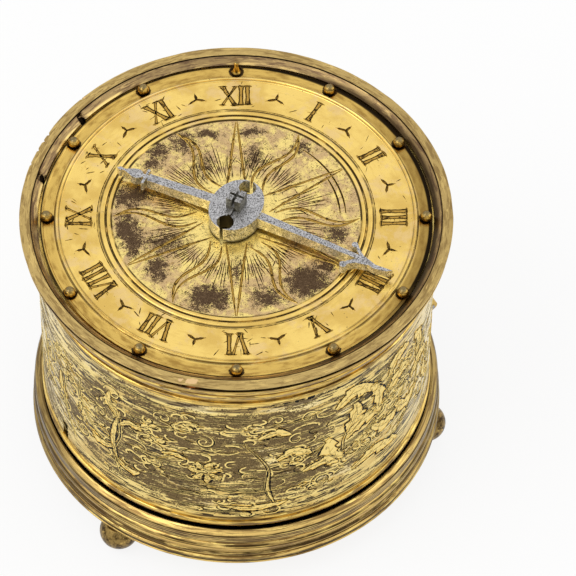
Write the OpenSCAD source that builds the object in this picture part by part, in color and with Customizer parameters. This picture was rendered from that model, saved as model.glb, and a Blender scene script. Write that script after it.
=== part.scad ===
// Drum clock: a round table clock with one hour hand, a fusee and a verge with a foliot.
// Millimetres. +Z is up, the axis of the drum is the Z axis and the feet stand on Z = 0.
// Twelve on the dial faces +Y and three faces +X.

/* [Base and feet] */
// Radius of each ball foot
foot_ball_r = 3.27; // [2.9:0.01:3.5]
// Depth of the flat worn under each foot
foot_flat = 0.12; // [0.05:0.01:0.25]
// Depth of the flat that seats each foot under the base
foot_seat = 0.82; // [0.7:0.01:1]
// Distance of the foot centres inside the edge of the base
foot_inset = 1.95; // [1.6:0.05:2.6]
// Direction of the first foot, in degrees from three o'clock
foot_dir = -7; // [-20:1:20]
// Number of feet
foot_count = 3; // [3:1:4]
// Radius of the rivet that holds a foot
foot_rivet_r = 0.6; // [0.4:0.05:0.9]
// How far the foot moulding of the base stands out past the wall of the drum
base_overhang = 2.1; // [1.6:0.05:3.5]
// Height of the base ring
base_h = 7.9; // [7.6:0.1:8.6]
// Height of the low bead under the other mouldings of the base
base_low_h = 0.6; // [0.4:0.05:0.8]
// How far the bore of the base stands back from the inside of the wall
base_bore_back = 0.15; // [0.05:0.01:0.3]
// Width of the flange inside the bottom of the base
base_flange = 2.6; // [2:0.1:4]
// Thickness of the flange and of the bottom plate
base_plate_t = 0.9; // [0.7:0.05:1.3]
// Depth of the rebate that the drum stands over
base_rebate = 0.3; // [0.2:0.05:0.6]

/* [Drum] */
// Outside radius of the engraved wall
drum_r = 32.35; // [32:0.05:32.7]
// Thickness of the wall
drum_wall = 0.9; // [0.7:0.05:1.1]
// Height from the lower edge of the wall to the back plate
under_room = 4.1; // [3.6:0.1:5]
// Height of the gap between the base and the drum
parting_gap = 0.4; // [0.3:0.05:0.6]
// Depth of the turned groove inside the wall for the movement latches
latch_groove = 0.45; // [0.3:0.05:0.5]
// Width of the catch slot in the wall
slot_w = 1.65; // [1.2:0.05:2.4]
// Height of the catch slot in the wall
slot_h = 4.6; // [3:0.1:5]
// Height of the lower end of the catch slot over the edge of the wall
slot_rise = 1.4; // [1.1:0.1:2]

/* [Rim and dial] */
// How far the rim stands out past the wall of the drum
rim_overhang = 2.65; // [2.2:0.05:3.6]
// Height of the rim
rim_h = 2.7; // [2.5:0.05:3.2]
// Width of the flat top of the rim
rim_flat = 1.7; // [1.2:0.05:2]
// Width of the ledge at the top of the wall that carries the dial
rim_shelf = 0.65; // [0.5:0.05:0.75]
// Depth of the dial below the top of the rim
dial_drop = 1; // [0.7:0.05:1.3]
// Gap between the edge of the dial and the rim
dial_gap = 0.4; // [0.15:0.05:0.5]
// Thickness of the dial plate
dial_t = 0.9; // [0.7:0.05:1.1]
// Width of the hollow channel round the dial
channel_w = 2.35; // [2.2:0.05:2.6]
// Depth of the hollow channel
channel_deep = 0.35; // [0.1:0.05:0.45]
// Width of the chapter ring
chapter_w = 7.15; // [6.5:0.05:8]
// Width of the double ring inside the chapter ring
double_ring_w = 2.1; // [2:0.05:2.6]
// Distance of the touch studs from the edge of the dial
stud_inset = 1.03; // [0.98:0.01:1.2]
// Radius of a touch stud
stud_r = 0.95; // [0.7:0.01:1]
// Height of a touch stud over the channel
stud_h = 1.45; // [1:0.05:1.8]
// Height of the taller stud at twelve over the channel
noon_stud_h = 2.6; // [2:0.05:3]
// Radius of the hole in the middle of the dial
dial_hole_r = 2.6; // [2.55:0.01:2.9]
// Distance of the dial feet from the edge of the plates
dial_foot_inset = 2.6; // [2.2:0.1:3]
// Radius of a dial foot
dial_foot_r = 1.2; // [1:0.05:1.5]

// Chips in the inner lip of the rim: direction, width and depth of each
rim_chips = [[141.4, 0.7, 0.5], [165.8, 1.7, 0.85]];

/* [Hand] */
// Reach of the pointed arm
hand_reach = 27.9; // [27:0.1:28.6]
// Reach of the tail
tail_reach = 21; // [20:0.1:22]
// Direction of the pointed arm, in degrees from three o'clock
hand_dir = -27; // [-180:1:180]
// Bend between the tail and the line of the arm
tail_bend = 3.5; // [-5:0.5:5]
// Half length of the oval boss across the hand
boss_long = 5.4; // [5.2:0.05:5.8]
// Half width of the oval boss along the hand
boss_short = 4.2; // [4:0.05:4.6]
// Height of the boss
boss_h = 3.1; // [2.8:0.05:3.4]
// Gap between the dial and the boss
boss_gap = 0.12; // [0.08:0.01:0.3]
// Radius of the two holes in the boss
boss_hole_r = 1.4; // [1.1:0.05:1.5]
// Distance of the holes from the axis
boss_hole_at = 3.95; // [3.8:0.05:4.1]
// Width of the slit from each hole to the edge of the boss
boss_slit = 0.55; // [0.3:0.05:0.8]
// Width of the arm at the boss
arm_w = 1.6; // [1.4:0.05:1.9]
// Height of the arm at the boss
arm_h = 2.5; // [2.2:0.05:2.6]
// Height of the arm at its end
arm_tip_h = 1.3; // [1:0.05:1.6]
// Side of the square head of the hour arbor
head_side = 2.5; // [2.2:0.05:2.6]
// Height of the head over the boss
head_rise = 2.5; // [2:0.05:2.8]
// Width of the slot in the head
head_slot = 0.5; // [0.35:0.05:0.7]
// Radius of the taper pin through the head
hand_pin_r = 0.27; // [0.2:0.01:0.32]
// Half length of the taper pin
hand_pin_half = 2.45; // [2.2:0.05:2.8]

/* [Movement frame] */
// Gap between the two plates and the wall of the drum
plate_gap = 0.85; // [0.6:0.05:1.2]
// Thickness of each plate
plate_t = 1.5; // [1.3:0.05:1.6]
// Gap between the dial and the dial-side plate
motion_gap = 3.6; // [3.5:0.05:3.8]
// Distance between the two plates
pillar_h = 29.1; // [28.9:0.05:29.5]
// Radius of a pillar at its middle
pillar_r = 1.1; // [0.9:0.05:1.3]
// Distance of the pillars from the edge of the plates
pillar_inset = 4.1; // [3.6:0.1:4.4]
// Directions of the pillars
pillar_dirs = [20, 100, 170, 272];
// Directions of the dial feet
dial_foot_dirs = [10, 130, 250];
// Clearance of a turning pivot in its hole
run_fit = 0.03; // [0.02:0.005:0.05]
// Clearance of a fixed tenon in its hole
still_fit = 0.01; // [0.01:0.005:0.02]
// Radius of the pivots of the train
pivot_r = 0.4; // [0.3:0.02:0.5]
// Radius of the arbors of the train
arbor_r = 0.75; // [0.6:0.05:0.85]

/* [Mainspring barrel] */
// Outside radius of the barrel
barrel_r = 11.5; // [11:0.05:11.7]
// Thickness of the barrel wall
barrel_wall = 0.7; // [0.5:0.05:0.9]
// Gap between the barrel and each plate
barrel_gap = 1.3; // [1.1:0.05:1.6]
// Room between the barrel and the wall of the drum
barrel_room = 2.55; // [2.15:0.05:2.75]
// Direction of the barrel
barrel_dir = -35; // [-37:1:-33]
// Radius of the barrel arbor
barrel_arbor_r = 2.2; // [2:0.05:2.4]
// Turns of the mainspring
spring_turns = 7; // [5:1:9]
// Thickness of the mainspring
spring_t = 0.35; // [0.2:0.01:0.4]
// Side of the winding squares
square_side = 2.4; // [2.2:0.05:2.6]
// How far the winding square of the fusee stands out of the back plate
square_reach = 6.2; // [4:0.1:6.6]
// Radius of the set-up ratchet
ratchet_r = 4.6; // [4.3:0.05:4.8]
// Teeth of the set-up ratchet
ratchet_teeth = 20; // [16:1:24]

/* [Fusee] */
// Radius of the fusee at its large end
fusee_big_r = 10.2; // [9.8:0.05:10.3]
// Radius of the fusee at its small end
fusee_small_r = 4.6; // [4.4:0.05:5]
// Height of the grooved part
fusee_h = 18.6; // [18.2:0.1:19]
// Distance between grooves
fusee_pitch = 1.4; // [1.3:0.05:1.5]
// Radius of the gut line
gut_r = 0.45; // [0.4:0.01:0.5]
// Turns of gut on the barrel
gut_barrel_turns = 5; // [3:1:6]
// Direction of the fusee
fusee_dir = 215; // [213:1:217]

/* [Wheels] */
// Teeth of the hour wheel
hour_teeth = 36; // [36:12:36]
// Leaves of the pinion of report
report_leaves = 12; // [12:12:12]
// Module of the hour wheel
hour_mod = 0.6; // [0.59:0.005:0.61]
// Teeth of the great wheel
great_teeth = 60; // [60:1:60]
// Leaves of the second pinion
second_leaves = 8; // [8:1:8]
// Module of the great wheel
great_mod = 0.4; // [0.395:0.0025:0.405]
// Teeth of the second wheel
second_teeth = 48; // [48:1:48]
// Leaves of the contrate pinion
contrate_leaves = 6; // [6:1:6]
// Module of the second wheel
second_mod = 0.36; // [0.355:0.0025:0.365]
// Teeth of the contrate wheel
contrate_teeth = 42; // [42:1:42]
// Leaves of the crown wheel pinion
crown_leaves = 6; // [6:1:6]
// Module of the contrate wheel
contrate_mod = 0.3; // [0.295:0.0025:0.305]
// Teeth of the crown wheel, an odd number
crown_teeth = 21; // [19:2:23]
// Radius of the crown wheel
crown_r = 4.9; // [4.7:0.05:5]
// Thickness of the flat wheels
wheel_t = 1; // [0.8:0.05:1.1]
// Width of a wheel's rim
wheel_rim = 1.5; // [1.2:0.05:1.8]

/* [Escapement] */
// Distance from the verge to the contrate arbor
crown_reach = 15.3; // [15.2:0.05:15.6]
// Height of the crown wheel arbor over the back plate
crown_rise = 6.5; // [6.3:0.05:6.7]
// Gap between the verge and the tips of the crown wheel
verge_gap = 1.25; // [1.2:0.01:1.35]
// Radius of the verge staff
verge_r = 0.5; // [0.4:0.02:0.55]
// Reach of a pallet from the middle of the verge
pallet_reach = 1.08; // [1:0.01:1.1]
// Angle between the two pallets
pallet_angle = 100; // [95:1:105]
// Half length of the foliot to the middle of its weights
foliot_half = 9; // [8.5:0.1:9.2]
// Radius of a foliot weight
foliot_weight_r = 1.75; // [1.5:0.05:1.9]
// Direction of the foliot at rest
foliot_dir = -5; // [-10:1:0]
// Direction of the cock from the verge
cock_dir = 75; // [70:1:80]
// Distance of the cock's foot from the verge
cock_reach = 14; // [13.5:0.1:14.5]
// Distance of the bristle arm's pivot from the verge
bristle_reach = 13.2; // [13:0.1:13.6]

/* [Hinge and catch] */
// Direction of the hinge
hinge_dir = 29; // [20:1:40]
// Distance of the hinge pin outside the foot moulding of the base
hinge_out = 0.75; // [0.7:0.05:1.2]
// Radius of the hinge knuckles
knuckle_r = 1.1; // [0.9:0.05:1.2]
// Length of each knuckle
knuckle_w = 3.4; // [3:0.1:4]
// Radius of the hinge pin
hinge_pin_r = 0.5; // [0.4:0.05:0.6]
// Thickness of the catch spring
catch_t = 0.5; // [0.4:0.05:0.6]
// Width of the catch spring
catch_w = 3; // [2.4:0.1:4]

/* [Hidden] */
$fn = 96;
tiny = 0.01;

function polar(r, a) = [r * cos(a), r * sin(a)];
function mix(a, b, t) = a + (b - a) * t;

// Heights of the stack, from the table up
base_z = 2 * foot_ball_r - foot_flat - foot_seat;
base_top = base_z + base_h;
drum_z = base_top + parting_gap;
back_z = drum_z + under_room;
back_top = back_z + plate_t;
front_z = back_top + pillar_h;
front_top = front_z + plate_t;
dial_under = front_top + motion_gap;
dial_z = dial_under + dial_t;
rim_top = dial_z + dial_drop;
drum_top = rim_top - rim_h;

// Radii that fit each other
drum_in = drum_r - drum_wall;
barrel_at_r = drum_in - barrel_r - barrel_room;
rim_r = drum_r + rim_overhang;
rim_bore_r = drum_in + rim_shelf;
dial_r = rim_bore_r - dial_gap;
stud_ring_r = dial_r - stud_inset;
channel_in_r = dial_r - channel_w;
channel_z = dial_z - channel_deep;
chapter_in_r = channel_in_r - chapter_w;
centre_r = chapter_in_r - double_ring_w;
base_r = drum_r + base_overhang;
base_bore_r = drum_in + base_bore_back;
foot_ring_r = base_r - foot_inset;
hinge_at_r = base_r + hinge_out;
plate_r = drum_in - plate_gap;
pillar_ring_r = plate_r - pillar_inset;
dial_foot_ring_r = plate_r - dial_foot_inset;
latch_at_r = plate_r - 5.2;

// Clearances that fits are worked out from
lay_gap = 0.05;
hinge_play = 0.1;

// Places of the arbors
fusee_at = polar(hour_mod * (hour_teeth + report_leaves) / 2, fusee_dir);
second_dir = 90;
second_at = fusee_at + polar(great_mod * (great_teeth + second_leaves) / 2, second_dir);
contrate_dir = 60;
contrate_at = second_at
    + polar(second_mod * (second_teeth + contrate_leaves) / 2, contrate_dir);
crown_dir = -50;
verge_at = contrate_at + polar(crown_reach, crown_dir);
barrel_at = polar(barrel_at_r, barrel_dir);
bristle_dir = foliot_dir - 90;
bristle_at = verge_at + polar(bristle_reach, bristle_dir);
cock_at = verge_at + polar(cock_reach, cock_dir);
latch_dirs = [60, 240];
stop_reach = 9.5;
stop_side = 7.6;
stop_block_at = fusee_at - [stop_reach, stop_side];
click_dir = -62;
click_reach = 7.1;
click_at = barrel_at + polar(click_reach, click_dir);

// Heights of the wheels
great_gap = 2;
great_z = front_z - great_gap - wheel_t;
second_t = 0.8;
second_z = front_z - 0.4 - second_t;
pinion_over = 0.4;
hour_z = front_top + 1.1;
hour_wheel_t = 1;
crown_z = back_top + crown_rise;
crown_pinion_r = contrate_mod * crown_leaves / 2;
contrate_r = contrate_mod * contrate_teeth / 2;
contrate_band = 1;
contrate_tip_z = crown_z + crown_pinion_r - contrate_mod;
contrate_root_z = contrate_tip_z + 2.45 * contrate_mod;
contrate_rim_h = 2;

// Fusee
fusee_ratchet_t = 0.8;
fusee_flange_t = 0.8;
fusee_ratchet_z = great_z - 0.1 - fusee_ratchet_t;
fusee_flange_z = fusee_ratchet_z - fusee_flange_t;
fusee_low = fusee_flange_z - fusee_h;
fusee_ratchet_r = 6.4;
fusee_beak_r = 6.3;
fusee_snail_t = 0.9;

// Foliot and cock
foliot_z = back_z - 3.8;
foliot_t = 1;
foliot_weight_h = 3.4;
foliot_weight_z = foliot_z + foliot_t / 2 - foliot_weight_h / 2;
cock_t = 1;
cock_z = foliot_weight_z - 0.6 - cock_t;
potence_top = crown_z + crown_r + 2;

// Barrel
barrel_z = back_top + barrel_gap;
barrel_top = front_z - barrel_gap;
barrel_disc_t = 0.9;

gold = [0.86, 0.68, 0.30];
old_gold = [0.72, 0.56, 0.26];
dull_brass = [0.55, 0.43, 0.20];
iron = [0.42, 0.41, 0.40];
steel = [0.60, 0.60, 0.60];
blued = [0.36, 0.36, 0.38];

// Small helpers

// A half-round bead on a turned profile, as points from its lower edge to its upper edge
function bead(r, z, h, bulge, n = 6) =
    [for (i = [0:n]) let (a = -90 + 180 * i / n) [r + bulge * cos(a), z + h / 2 + h / 2 * sin(a)]];

// A quarter-round hollow, as points from below to above
function hollow(r_low, r_high, z, h, n = 4) =
    [for (i = [0:n]) let (a = 90 * i / n) [mix(r_low, r_high, 1 - cos(a)), z + h * sin(a)]];

// Points of a toothed wheel: root, pitch and tip of each side of each tooth
function tooth_points(n, pitch_r, add, ded, root_w, pitch_w, tip_w) =
    [for (i = [0:n - 1]) let (a = i * 360 / n, s = 360 / n)
        each [
            polar(pitch_r - ded, a - root_w * s / 2), polar(pitch_r, a - pitch_w * s / 2),
            polar(pitch_r + add, a - tip_w * s / 2), polar(pitch_r + add, a + tip_w * s / 2),
            polar(pitch_r, a + pitch_w * s / 2), polar(pitch_r - ded, a + root_w * s / 2)
        ]];

// Points of a ratchet: a radial face and a long slope for each tooth
function ratchet_points(n, tip_r, root_r) =
    [for (i = [0:n - 1]) each [polar(root_r, i * 360 / n), polar(tip_r, i * 360 / n)]];

// Outline of a lever through points, with its half width at each of them and round ends
function lever_points(p, w) = let (n = len(p) - 1,
    dirs = [for (i = [0:n]) let (d = p[min(i + 1, n)] - p[max(i - 1, 0)]) d / norm(d)],
    sides = [for (d = dirs) [-d[1], d[0]]])
    concat(
        [for (i = [0:n]) p[i] + sides[i] * w[i]],
        [for (k = [1:7]) p[n] + w[n] * (dirs[n] * sin(k * 22.5) + sides[n] * cos(k * 22.5))],
        [for (i = [n:-1:0]) p[i] - sides[i] * w[i]],
        [for (k = [1:7]) p[0] - w[0] * (dirs[0] * sin(k * 22.5) + sides[0] * cos(k * 22.5))]
    );

module lever_outline(points, widths) {
    polygon(lever_points(points, widths));
}

module turned(points) {
    rotate_extrude() polygon(points);
}

module at(place, z = 0) {
    translate([place[0], place[1], z]) children();
}

// A square rod with its middle on the axis
module square_rod(side, h) {
    translate([-side / 2, -side / 2, 0]) cube([side, side, h]);
}

module wheel_tooth_outline(n, mod) {
    polygon(tooth_points(n, n * mod / 2, mod * 0.95, mod * 1.25, 0.46, 0.40, 0.16));
}

module pinion_outline(n, mod) {
    polygon(tooth_points(n, n * mod / 2, mod * 0.75, mod * 1.2, 0.30, 0.34, 0.14));
}

// A flat wheel with crossings, a hub bore and teeth
module crossed_wheel(n, mod, t, rim, hub_r, bore_r, arms, arm_w) {
    root_r = n * mod / 2 - mod * 1.25;
    difference() {
        linear_extrude(t) wheel_tooth_outline(n, mod);
        translate([0, 0, -1]) linear_extrude(t + 2) difference() {
            circle(root_r - rim);
            circle(hub_r);
            for (i = [0:arms - 1]) rotate(i * 360 / arms)
                translate([0, -arm_w / 2]) square([root_r, arm_w]);
        }
        translate([0, 0, -1]) cylinder(r = bore_r, h = t + 2);
    }
}

// A small taper pin lying along X
module taper_pin(length, r) {
    translate([-length / 2, 0, 0]) rotate([0, 90, 0]) cylinder(r1 = r, r2 = r * 0.7, h = length);
}

// Case

module case_band() {
    e = drum_z;
    t = drum_top;
    profile = concat(
        [[drum_in, e], [drum_r + 0.25, e]],
        bead(drum_r + 0.1, e, 1, 0.25),
        [[drum_r - 0.1, e + 1.05], [drum_r - 0.1, e + 1.5]],
        bead(drum_r, e + 1.6, 0.5, 0.18),
        [[drum_r, e + 2.15], [drum_r, t - 5.9]],
        bead(drum_r, t - 5.8, 0.45, 0.2),
        bead(drum_r, t - 5.2, 0.6, 0.4),
        hollow(drum_r, drum_r + 0.55, t - 4.5, 1.5),
        bead(drum_r + 0.55, t - 3, 1, 0.35),
        [[drum_r + 0.6, t - 1.95], [drum_r + 0.6, t - 1.3], [drum_r + 1.1, t - 1.25],
            [drum_r + 1.1, t - 0.75], [drum_r + 1.25, t - 0.7], [drum_r + 1.25, t],
            [rim_bore_r - still_fit, t], [rim_bore_r - still_fit, dial_under],
            [drum_in, dial_under]]
    );
    groove_z = back_z - 1.8;
    color(old_gold) difference() {
        turned(profile);
        translate([0, 0, groove_z]) rotate_extrude()
            translate([drum_in - 1, 0]) square([1 + latch_groove, 1.5]);
        rotate([0, 0, hinge_dir + 180]) translate([drum_in - 1, -slot_w / 2, e + slot_rise])
            cube([4, slot_w, slot_h]);
    }
}

module bezel_rim() {
    z = drum_top;
    flat_in_r = rim_r - rim_flat;
    color(dull_brass) difference() {
        turned(concat(
            [[rim_bore_r, z], [drum_r + 1.25, z]],
            hollow(drum_r + 1.25, rim_r - 0.15, z, 1.1),
            bead(rim_r - 0.2, z + 1.1, rim_h - 1.1, 0.2),
            [[flat_in_r, z + rim_h], [flat_in_r - 0.03, z + rim_h - 0.22],
                [flat_in_r - 0.13, z + rim_h - 0.22], [flat_in_r - 0.16, z + rim_h - 0.08],
                [rim_bore_r + 0.15, z + rim_h - dial_drop],
                [rim_bore_r, z + rim_h - dial_drop - 0.15]]
        ));
        for (chip = rim_chips) rotate([0, 0, chip[0]])
            translate([rim_bore_r - 1, -chip[1] / 2, z + rim_h - dial_drop - 0.5])
                cube([1 + chip[2], chip[1], 2]);
    }
}

module dial_plate() {
    color(gold) difference() {
        turned(concat(
            [[dial_hole_r, dial_under], [dial_r, dial_under], [dial_r, dial_z - 0.1]],
            [[dial_r - 0.35, dial_z - 0.1]],
            [for (i = [0:6]) let (a = 180 * i / 6)
                [mix(dial_r - 0.4, channel_in_r, (1 - cos(a)) / 2),
                    dial_z - 0.1 - (channel_deep - 0.1) * sin(a)]],
            [[channel_in_r, dial_z]],
            [for (p = bead(0, channel_in_r - 0.45, 0.4, 0.16)) [2 * channel_in_r - 0.5 - p[1],
                dial_z + p[0]]],
            [for (p = bead(0, channel_in_r - 0.95, 0.35, 0.1)) [2 * channel_in_r - 1.5 - p[1],
                dial_z + p[0]]],
            [[chapter_in_r, dial_z]],
            [for (p = bead(0, chapter_in_r - 0.95, 0.8, 0.16)) [2 * chapter_in_r - 1.1 - p[1],
                dial_z + p[0]]],
            [[chapter_in_r - 1.02, dial_z - 0.12], [chapter_in_r - 1.18, dial_z - 0.12]],
            [for (p = bead(0, centre_r + 0.15, 0.7, 0.14)) [2 * centre_r + 1 - p[1],
                dial_z + p[0]]],
            [[centre_r, dial_z], [centre_r, dial_z - 0.05], [dial_hole_r, dial_z - 0.05]]
        ));
        for (i = [0:11]) at(polar(stud_ring_r, i * 30)) {
            translate([0, 0, dial_under - 1]) cylinder(r = stud_r * 0.5 + still_fit, h = dial_t + 2);
            translate([0, 0, channel_z]) cylinder(r = stud_r + 0.03, h = 1);
        }
        for (a = dial_foot_dirs) at(polar(dial_foot_ring_r, a), dial_under - 1)
            cylinder(r = dial_foot_r * 0.6 + still_fit, h = dial_t * 0.55 + 1);
    }
}

// A stud: a rivet shank in the dial and a round head with a small collar
module stud(shank_r, head) {
    turned(concat([[0, dial_under - 0.25], [shank_r + 0.2, dial_under - 0.25],
        [shank_r + 0.2, dial_under], [shank_r, dial_under], [shank_r, channel_z + lay_gap]], head));
}

module touch_studs() {
    z = channel_z + lay_gap;
    ball = [for (i = [0:7]) let (a = -30 + 120 * i / 7)
        [stud_r * cos(a), z + stud_h - stud_r + stud_r * sin(a)]];
    color(dull_brass) for (i = [0:11]) if (i != 3)
        at(polar(stud_ring_r, i * 30)) stud(stud_r * 0.5, concat([[stud_r * 0.8, z]], ball));
}

module noon_stud() {
    z = channel_z + lay_gap;
    tip_r = stud_r * 0.42;
    tip = [for (i = [0:5]) let (a = -50 + 140 * i / 5)
        [tip_r * cos(a), z + noon_stud_h - tip_r + tip_r * sin(a)]];
    color(dull_brass) at(polar(stud_ring_r, 90)) stud(stud_r * 0.5, concat(
        [[stud_r * 0.85, z], [stud_r * 0.85, z + 0.2], [stud_r * 0.6, z + 0.5],
            [tip_r * 0.8, z + noon_stud_h - tip_r * 2.2]], tip));
}

module dial_feet() {
    color(iron) for (a = dial_foot_dirs) at(polar(dial_foot_ring_r, a)) difference() {
        union() {
            translate([0, 0, front_top]) cylinder(r = dial_foot_r, h = motion_gap);
            translate([0, 0, front_z - 1.3])
                cylinder(r = dial_foot_r * 0.7, h = plate_t + 1.4);
            translate([0, 0, dial_under - tiny])
                cylinder(r = dial_foot_r * 0.6, h = dial_t * 0.5 + tiny);
        }
        translate([0, 0, front_z - 0.55]) rotate([0, 0, a]) rotate([0, 90, 0])
            cylinder(r = 0.32, h = 6, center = true);
    }
}

module dial_foot_pins() {
    color(iron) for (a = dial_foot_dirs) at(polar(dial_foot_ring_r, a), front_z - 0.55)
        rotate([0, 0, a]) taper_pin(3.4, 0.3);
}

// Hand and motion work

boss_z = dial_z + boss_gap;
boss_top = boss_z + boss_h;
arm_top = boss_top - 0.25;

// Top view of the pointed arm and its two scrolls, with the arm along X
module arm_outline() {
    k = hand_reach / 27.9;
    polygon([[0, -arm_w / 2], [22.2 * k, -0.42], [25 * k, -0.95], [27 * k, -0.55], [hand_reach, 0.05],
        [27 * k, 0], [25 * k, -0.15], [22.9 * k, 0.5], [22 * k, 0.4], [0, arm_w / 2]]);
    lever_outline([[22.8 * k, 0], [21.4 * k, 1.15], [20.75 * k, 1.95]], [0.3, 0.24, 0.2]);
    lever_outline([[23.5 * k, -0.5], [21.8 * k, -0.9], [20.8 * k, -1.75], [20.45 * k, -2.3]],
        [0.42, 0.4, 0.32, 0.28]);
    translate([20.3 * k, 1.95]) circle(0.52, $fn = 12);
    translate([20.3 * k, -2.45]) circle(0.58, $fn = 12);
}

// Top view of the tail: bar, collar, bud and bead
module tail_outline() {
    k = tail_reach / 21;
    polygon([[0, -arm_w / 2 - 0.05], [15.5 * k, -0.72], [15.5 * k, 0.72], [0, arm_w / 2 + 0.05]]);
    polygon([[15.4 * k, -0.35], [16.8 * k, -0.35], [16.8 * k, 0.35], [15.4 * k, 0.35]]);
    polygon([[15.75 * k, -1.5], [16.2 * k, -1.55], [16.2 * k, 1.55], [15.75 * k, 1.5]]);
    polygon([[16.6 * k, -0.5], [17.3 * k, -0.92], [18.1 * k, -0.85], [19.6 * k, -0.2],
        [20 * k, -0.18], [tail_reach, -0.1], [tail_reach, 0.1], [20 * k, 0.18], [19.6 * k, 0.2],
        [18.1 * k, 0.85], [17.3 * k, 0.92], [16.6 * k, 0.5]]);
    translate([20.45 * k, 0]) circle(0.36, $fn = 12);
}

// An arm cut from its top view and its side view
module arm_solid(reach, top, root_h, tip_h, droop) {
    intersection() {
        translate([0, 0, top - root_h - 1]) linear_extrude(root_h + 2) children();
        rotate([90, 0, 0]) linear_extrude(10, center = true)
            polygon([[1, top - root_h], [reach + 1, top - droop - tip_h],
                [reach + 1, top - droop], [1, top]]);
    }
}

module boss_outline() {
    polygon([for (i = [0:59]) let (a = i * 6) [boss_short * cos(a), boss_long * sin(a)]]);
}

module hour_hand() {
    color(steel) rotate([0, 0, hand_dir]) difference() {
        union() {
            translate([0, 0, boss_z]) linear_extrude(boss_h) boss_outline();
            arm_solid(hand_reach, arm_top, arm_h, arm_tip_h, 0.7) arm_outline();
            rotate([0, 0, 180 + tail_bend])
                arm_solid(tail_reach, arm_top, arm_h, arm_tip_h + 0.3, 0.5) tail_outline();
        }
        for (s = [-1, 1]) {
            translate([0, s * boss_hole_at, boss_z - 1]) cylinder(r = boss_hole_r, h = boss_h + 2);
            translate([-boss_slit / 2, s * (boss_hole_at + 1) - 1, boss_z - 1])
                cube([boss_slit, 2, boss_h + 2]);
        }
        translate([0, 0, boss_z - 1]) square_rod(head_side + 2 * still_fit, boss_h + 2);
    }
}

hand_arbor_r = 1.5;
pipe_r = dial_hole_r - 0.12;
flange_z = front_top + 0.1;
flange_t = 0.5;

module hour_arbor() {
    head_z = boss_top + head_rise;
    color(blued) rotate([0, 0, hand_dir]) difference() {
        union() {
            translate([0, 0, front_z]) cylinder(r = 0.8, h = plate_t + 0.6);
            translate([0, 0, flange_z]) cylinder(r = 4.2, h = flange_t);
            translate([0, 0, flange_z]) cylinder(r = hand_arbor_r, h = boss_z - flange_z - 0.04);
            translate([0, 0, boss_z - 0.05]) square_rod(head_side, head_z - boss_z + 0.05);
        }
        translate([-head_slot / 2, -3, head_z - 1.7]) cube([head_slot, 6, 3]);
        translate([-3, -head_slot * 0.4, head_z - 0.6]) cube([6, head_slot * 0.8, 3]);
        translate([0, 0, boss_top + hand_pin_r + 0.05]) rotate([90, 0, 0])
            cylinder(r = hand_pin_r + still_fit, h = 8, center = true);
    }
}

module hand_pin() {
    color(steel) rotate([0, 0, hand_dir]) translate([0, -0.25, boss_top + hand_pin_r + 0.05])
        rotate([0, 0, 90]) taper_pin(hand_pin_half * 2, hand_pin_r);
}

// A dished friction spring between the arbor's flange and the hour wheel
module hand_spring() {
    low = flange_z + flange_t;
    high = hour_z - lay_gap;
    color(blued) difference() {
        turned([[hand_arbor_r + 0.1, high - 0.2], [4.6, low], [4.9, low], [4.9, low + 0.2],
            [hand_arbor_r + 0.5, high], [hand_arbor_r + 0.1, high]]);
        for (i = [0:2]) rotate([0, 0, i * 120]) translate([3, -0.4, low - 1]) cube([3, 0.8, 3]);
    }
}

module hour_wheel() {
    color(iron) {
        rotate([0, 0, fusee_dir]) translate([0, 0, hour_z])
            crossed_wheel(hour_teeth, hour_mod, hour_wheel_t, wheel_rim, 3.4,
                hand_arbor_r + run_fit + 0.02, 4, 1.6);
        difference() {
            translate([0, 0, hour_z + hour_wheel_t - tiny])
                cylinder(r = pipe_r, h = dial_z - hour_z - hour_wheel_t - 0.1);
            translate([0, 0, hour_z]) cylinder(r = hand_arbor_r + run_fit + 0.02, h = 10);
        }
    }
}

// Movement frame

// Every hole through a plate that a turning pivot or staff runs in
module pivot_holes(z, places, r) {
    for (p = places) at(p, z - 1) cylinder(r = r + run_fit, h = plate_t + 2);
}

fusee_pivot_r = 1.1;
barrel_pivot_r = 1.6;
tenon_r = 0.9;

module dial_side_plate() {
    color(iron) difference() {
        translate([0, 0, front_z]) cylinder(r = plate_r, h = plate_t);
        pivot_holes(front_z, [second_at, contrate_at], pivot_r);
        pivot_holes(front_z, [fusee_at], fusee_pivot_r);
        pivot_holes(front_z, [barrel_at], barrel_pivot_r);
        pivot_holes(front_z, [[0, 0]], 0.8);
        for (a = pillar_dirs) at(polar(pillar_ring_r, a), front_z - 1)
            cylinder(r = tenon_r + still_fit, h = plate_t + 2);
        for (a = dial_foot_dirs) at(polar(dial_foot_ring_r, a), front_z - 1)
            cylinder(r = dial_foot_r * 0.7 + still_fit, h = plate_t + 2);
    }
}

screw_places = [cock_at, bristle_at, click_at, for (a = latch_dirs) polar(latch_at_r, a)];
screw_r = 0.7;
staff_hole_r = 1.6;

module back_plate() {
    color(iron) difference() {
        translate([0, 0, back_z]) cylinder(r = plate_r, h = plate_t);
        pivot_holes(back_z, [second_at, contrate_at], pivot_r);
        pivot_holes(back_z, [fusee_at], fusee_pivot_r);
        pivot_holes(back_z, [barrel_at], barrel_pivot_r);
        at(verge_at, back_z - 1) cylinder(r = staff_hole_r, h = plate_t + 2);
        for (p = screw_places) at(p, back_z - 1) cylinder(r = screw_r + still_fit, h = plate_t + 2);
        for (a = pillar_dirs) at(polar(pillar_ring_r, a), back_z - 1)
            cylinder(r = tenon_r + still_fit, h = plate_t + 2);
        // Sight holes over the barrel and the contrate wheel
        translate([0, 0, back_z - 1]) linear_extrude(plate_t + 2) {
            translate(polar(22.5, 335)) circle(3.2);
            translate(polar(20, 140)) circle(2.6);
        }
    }
}

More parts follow.
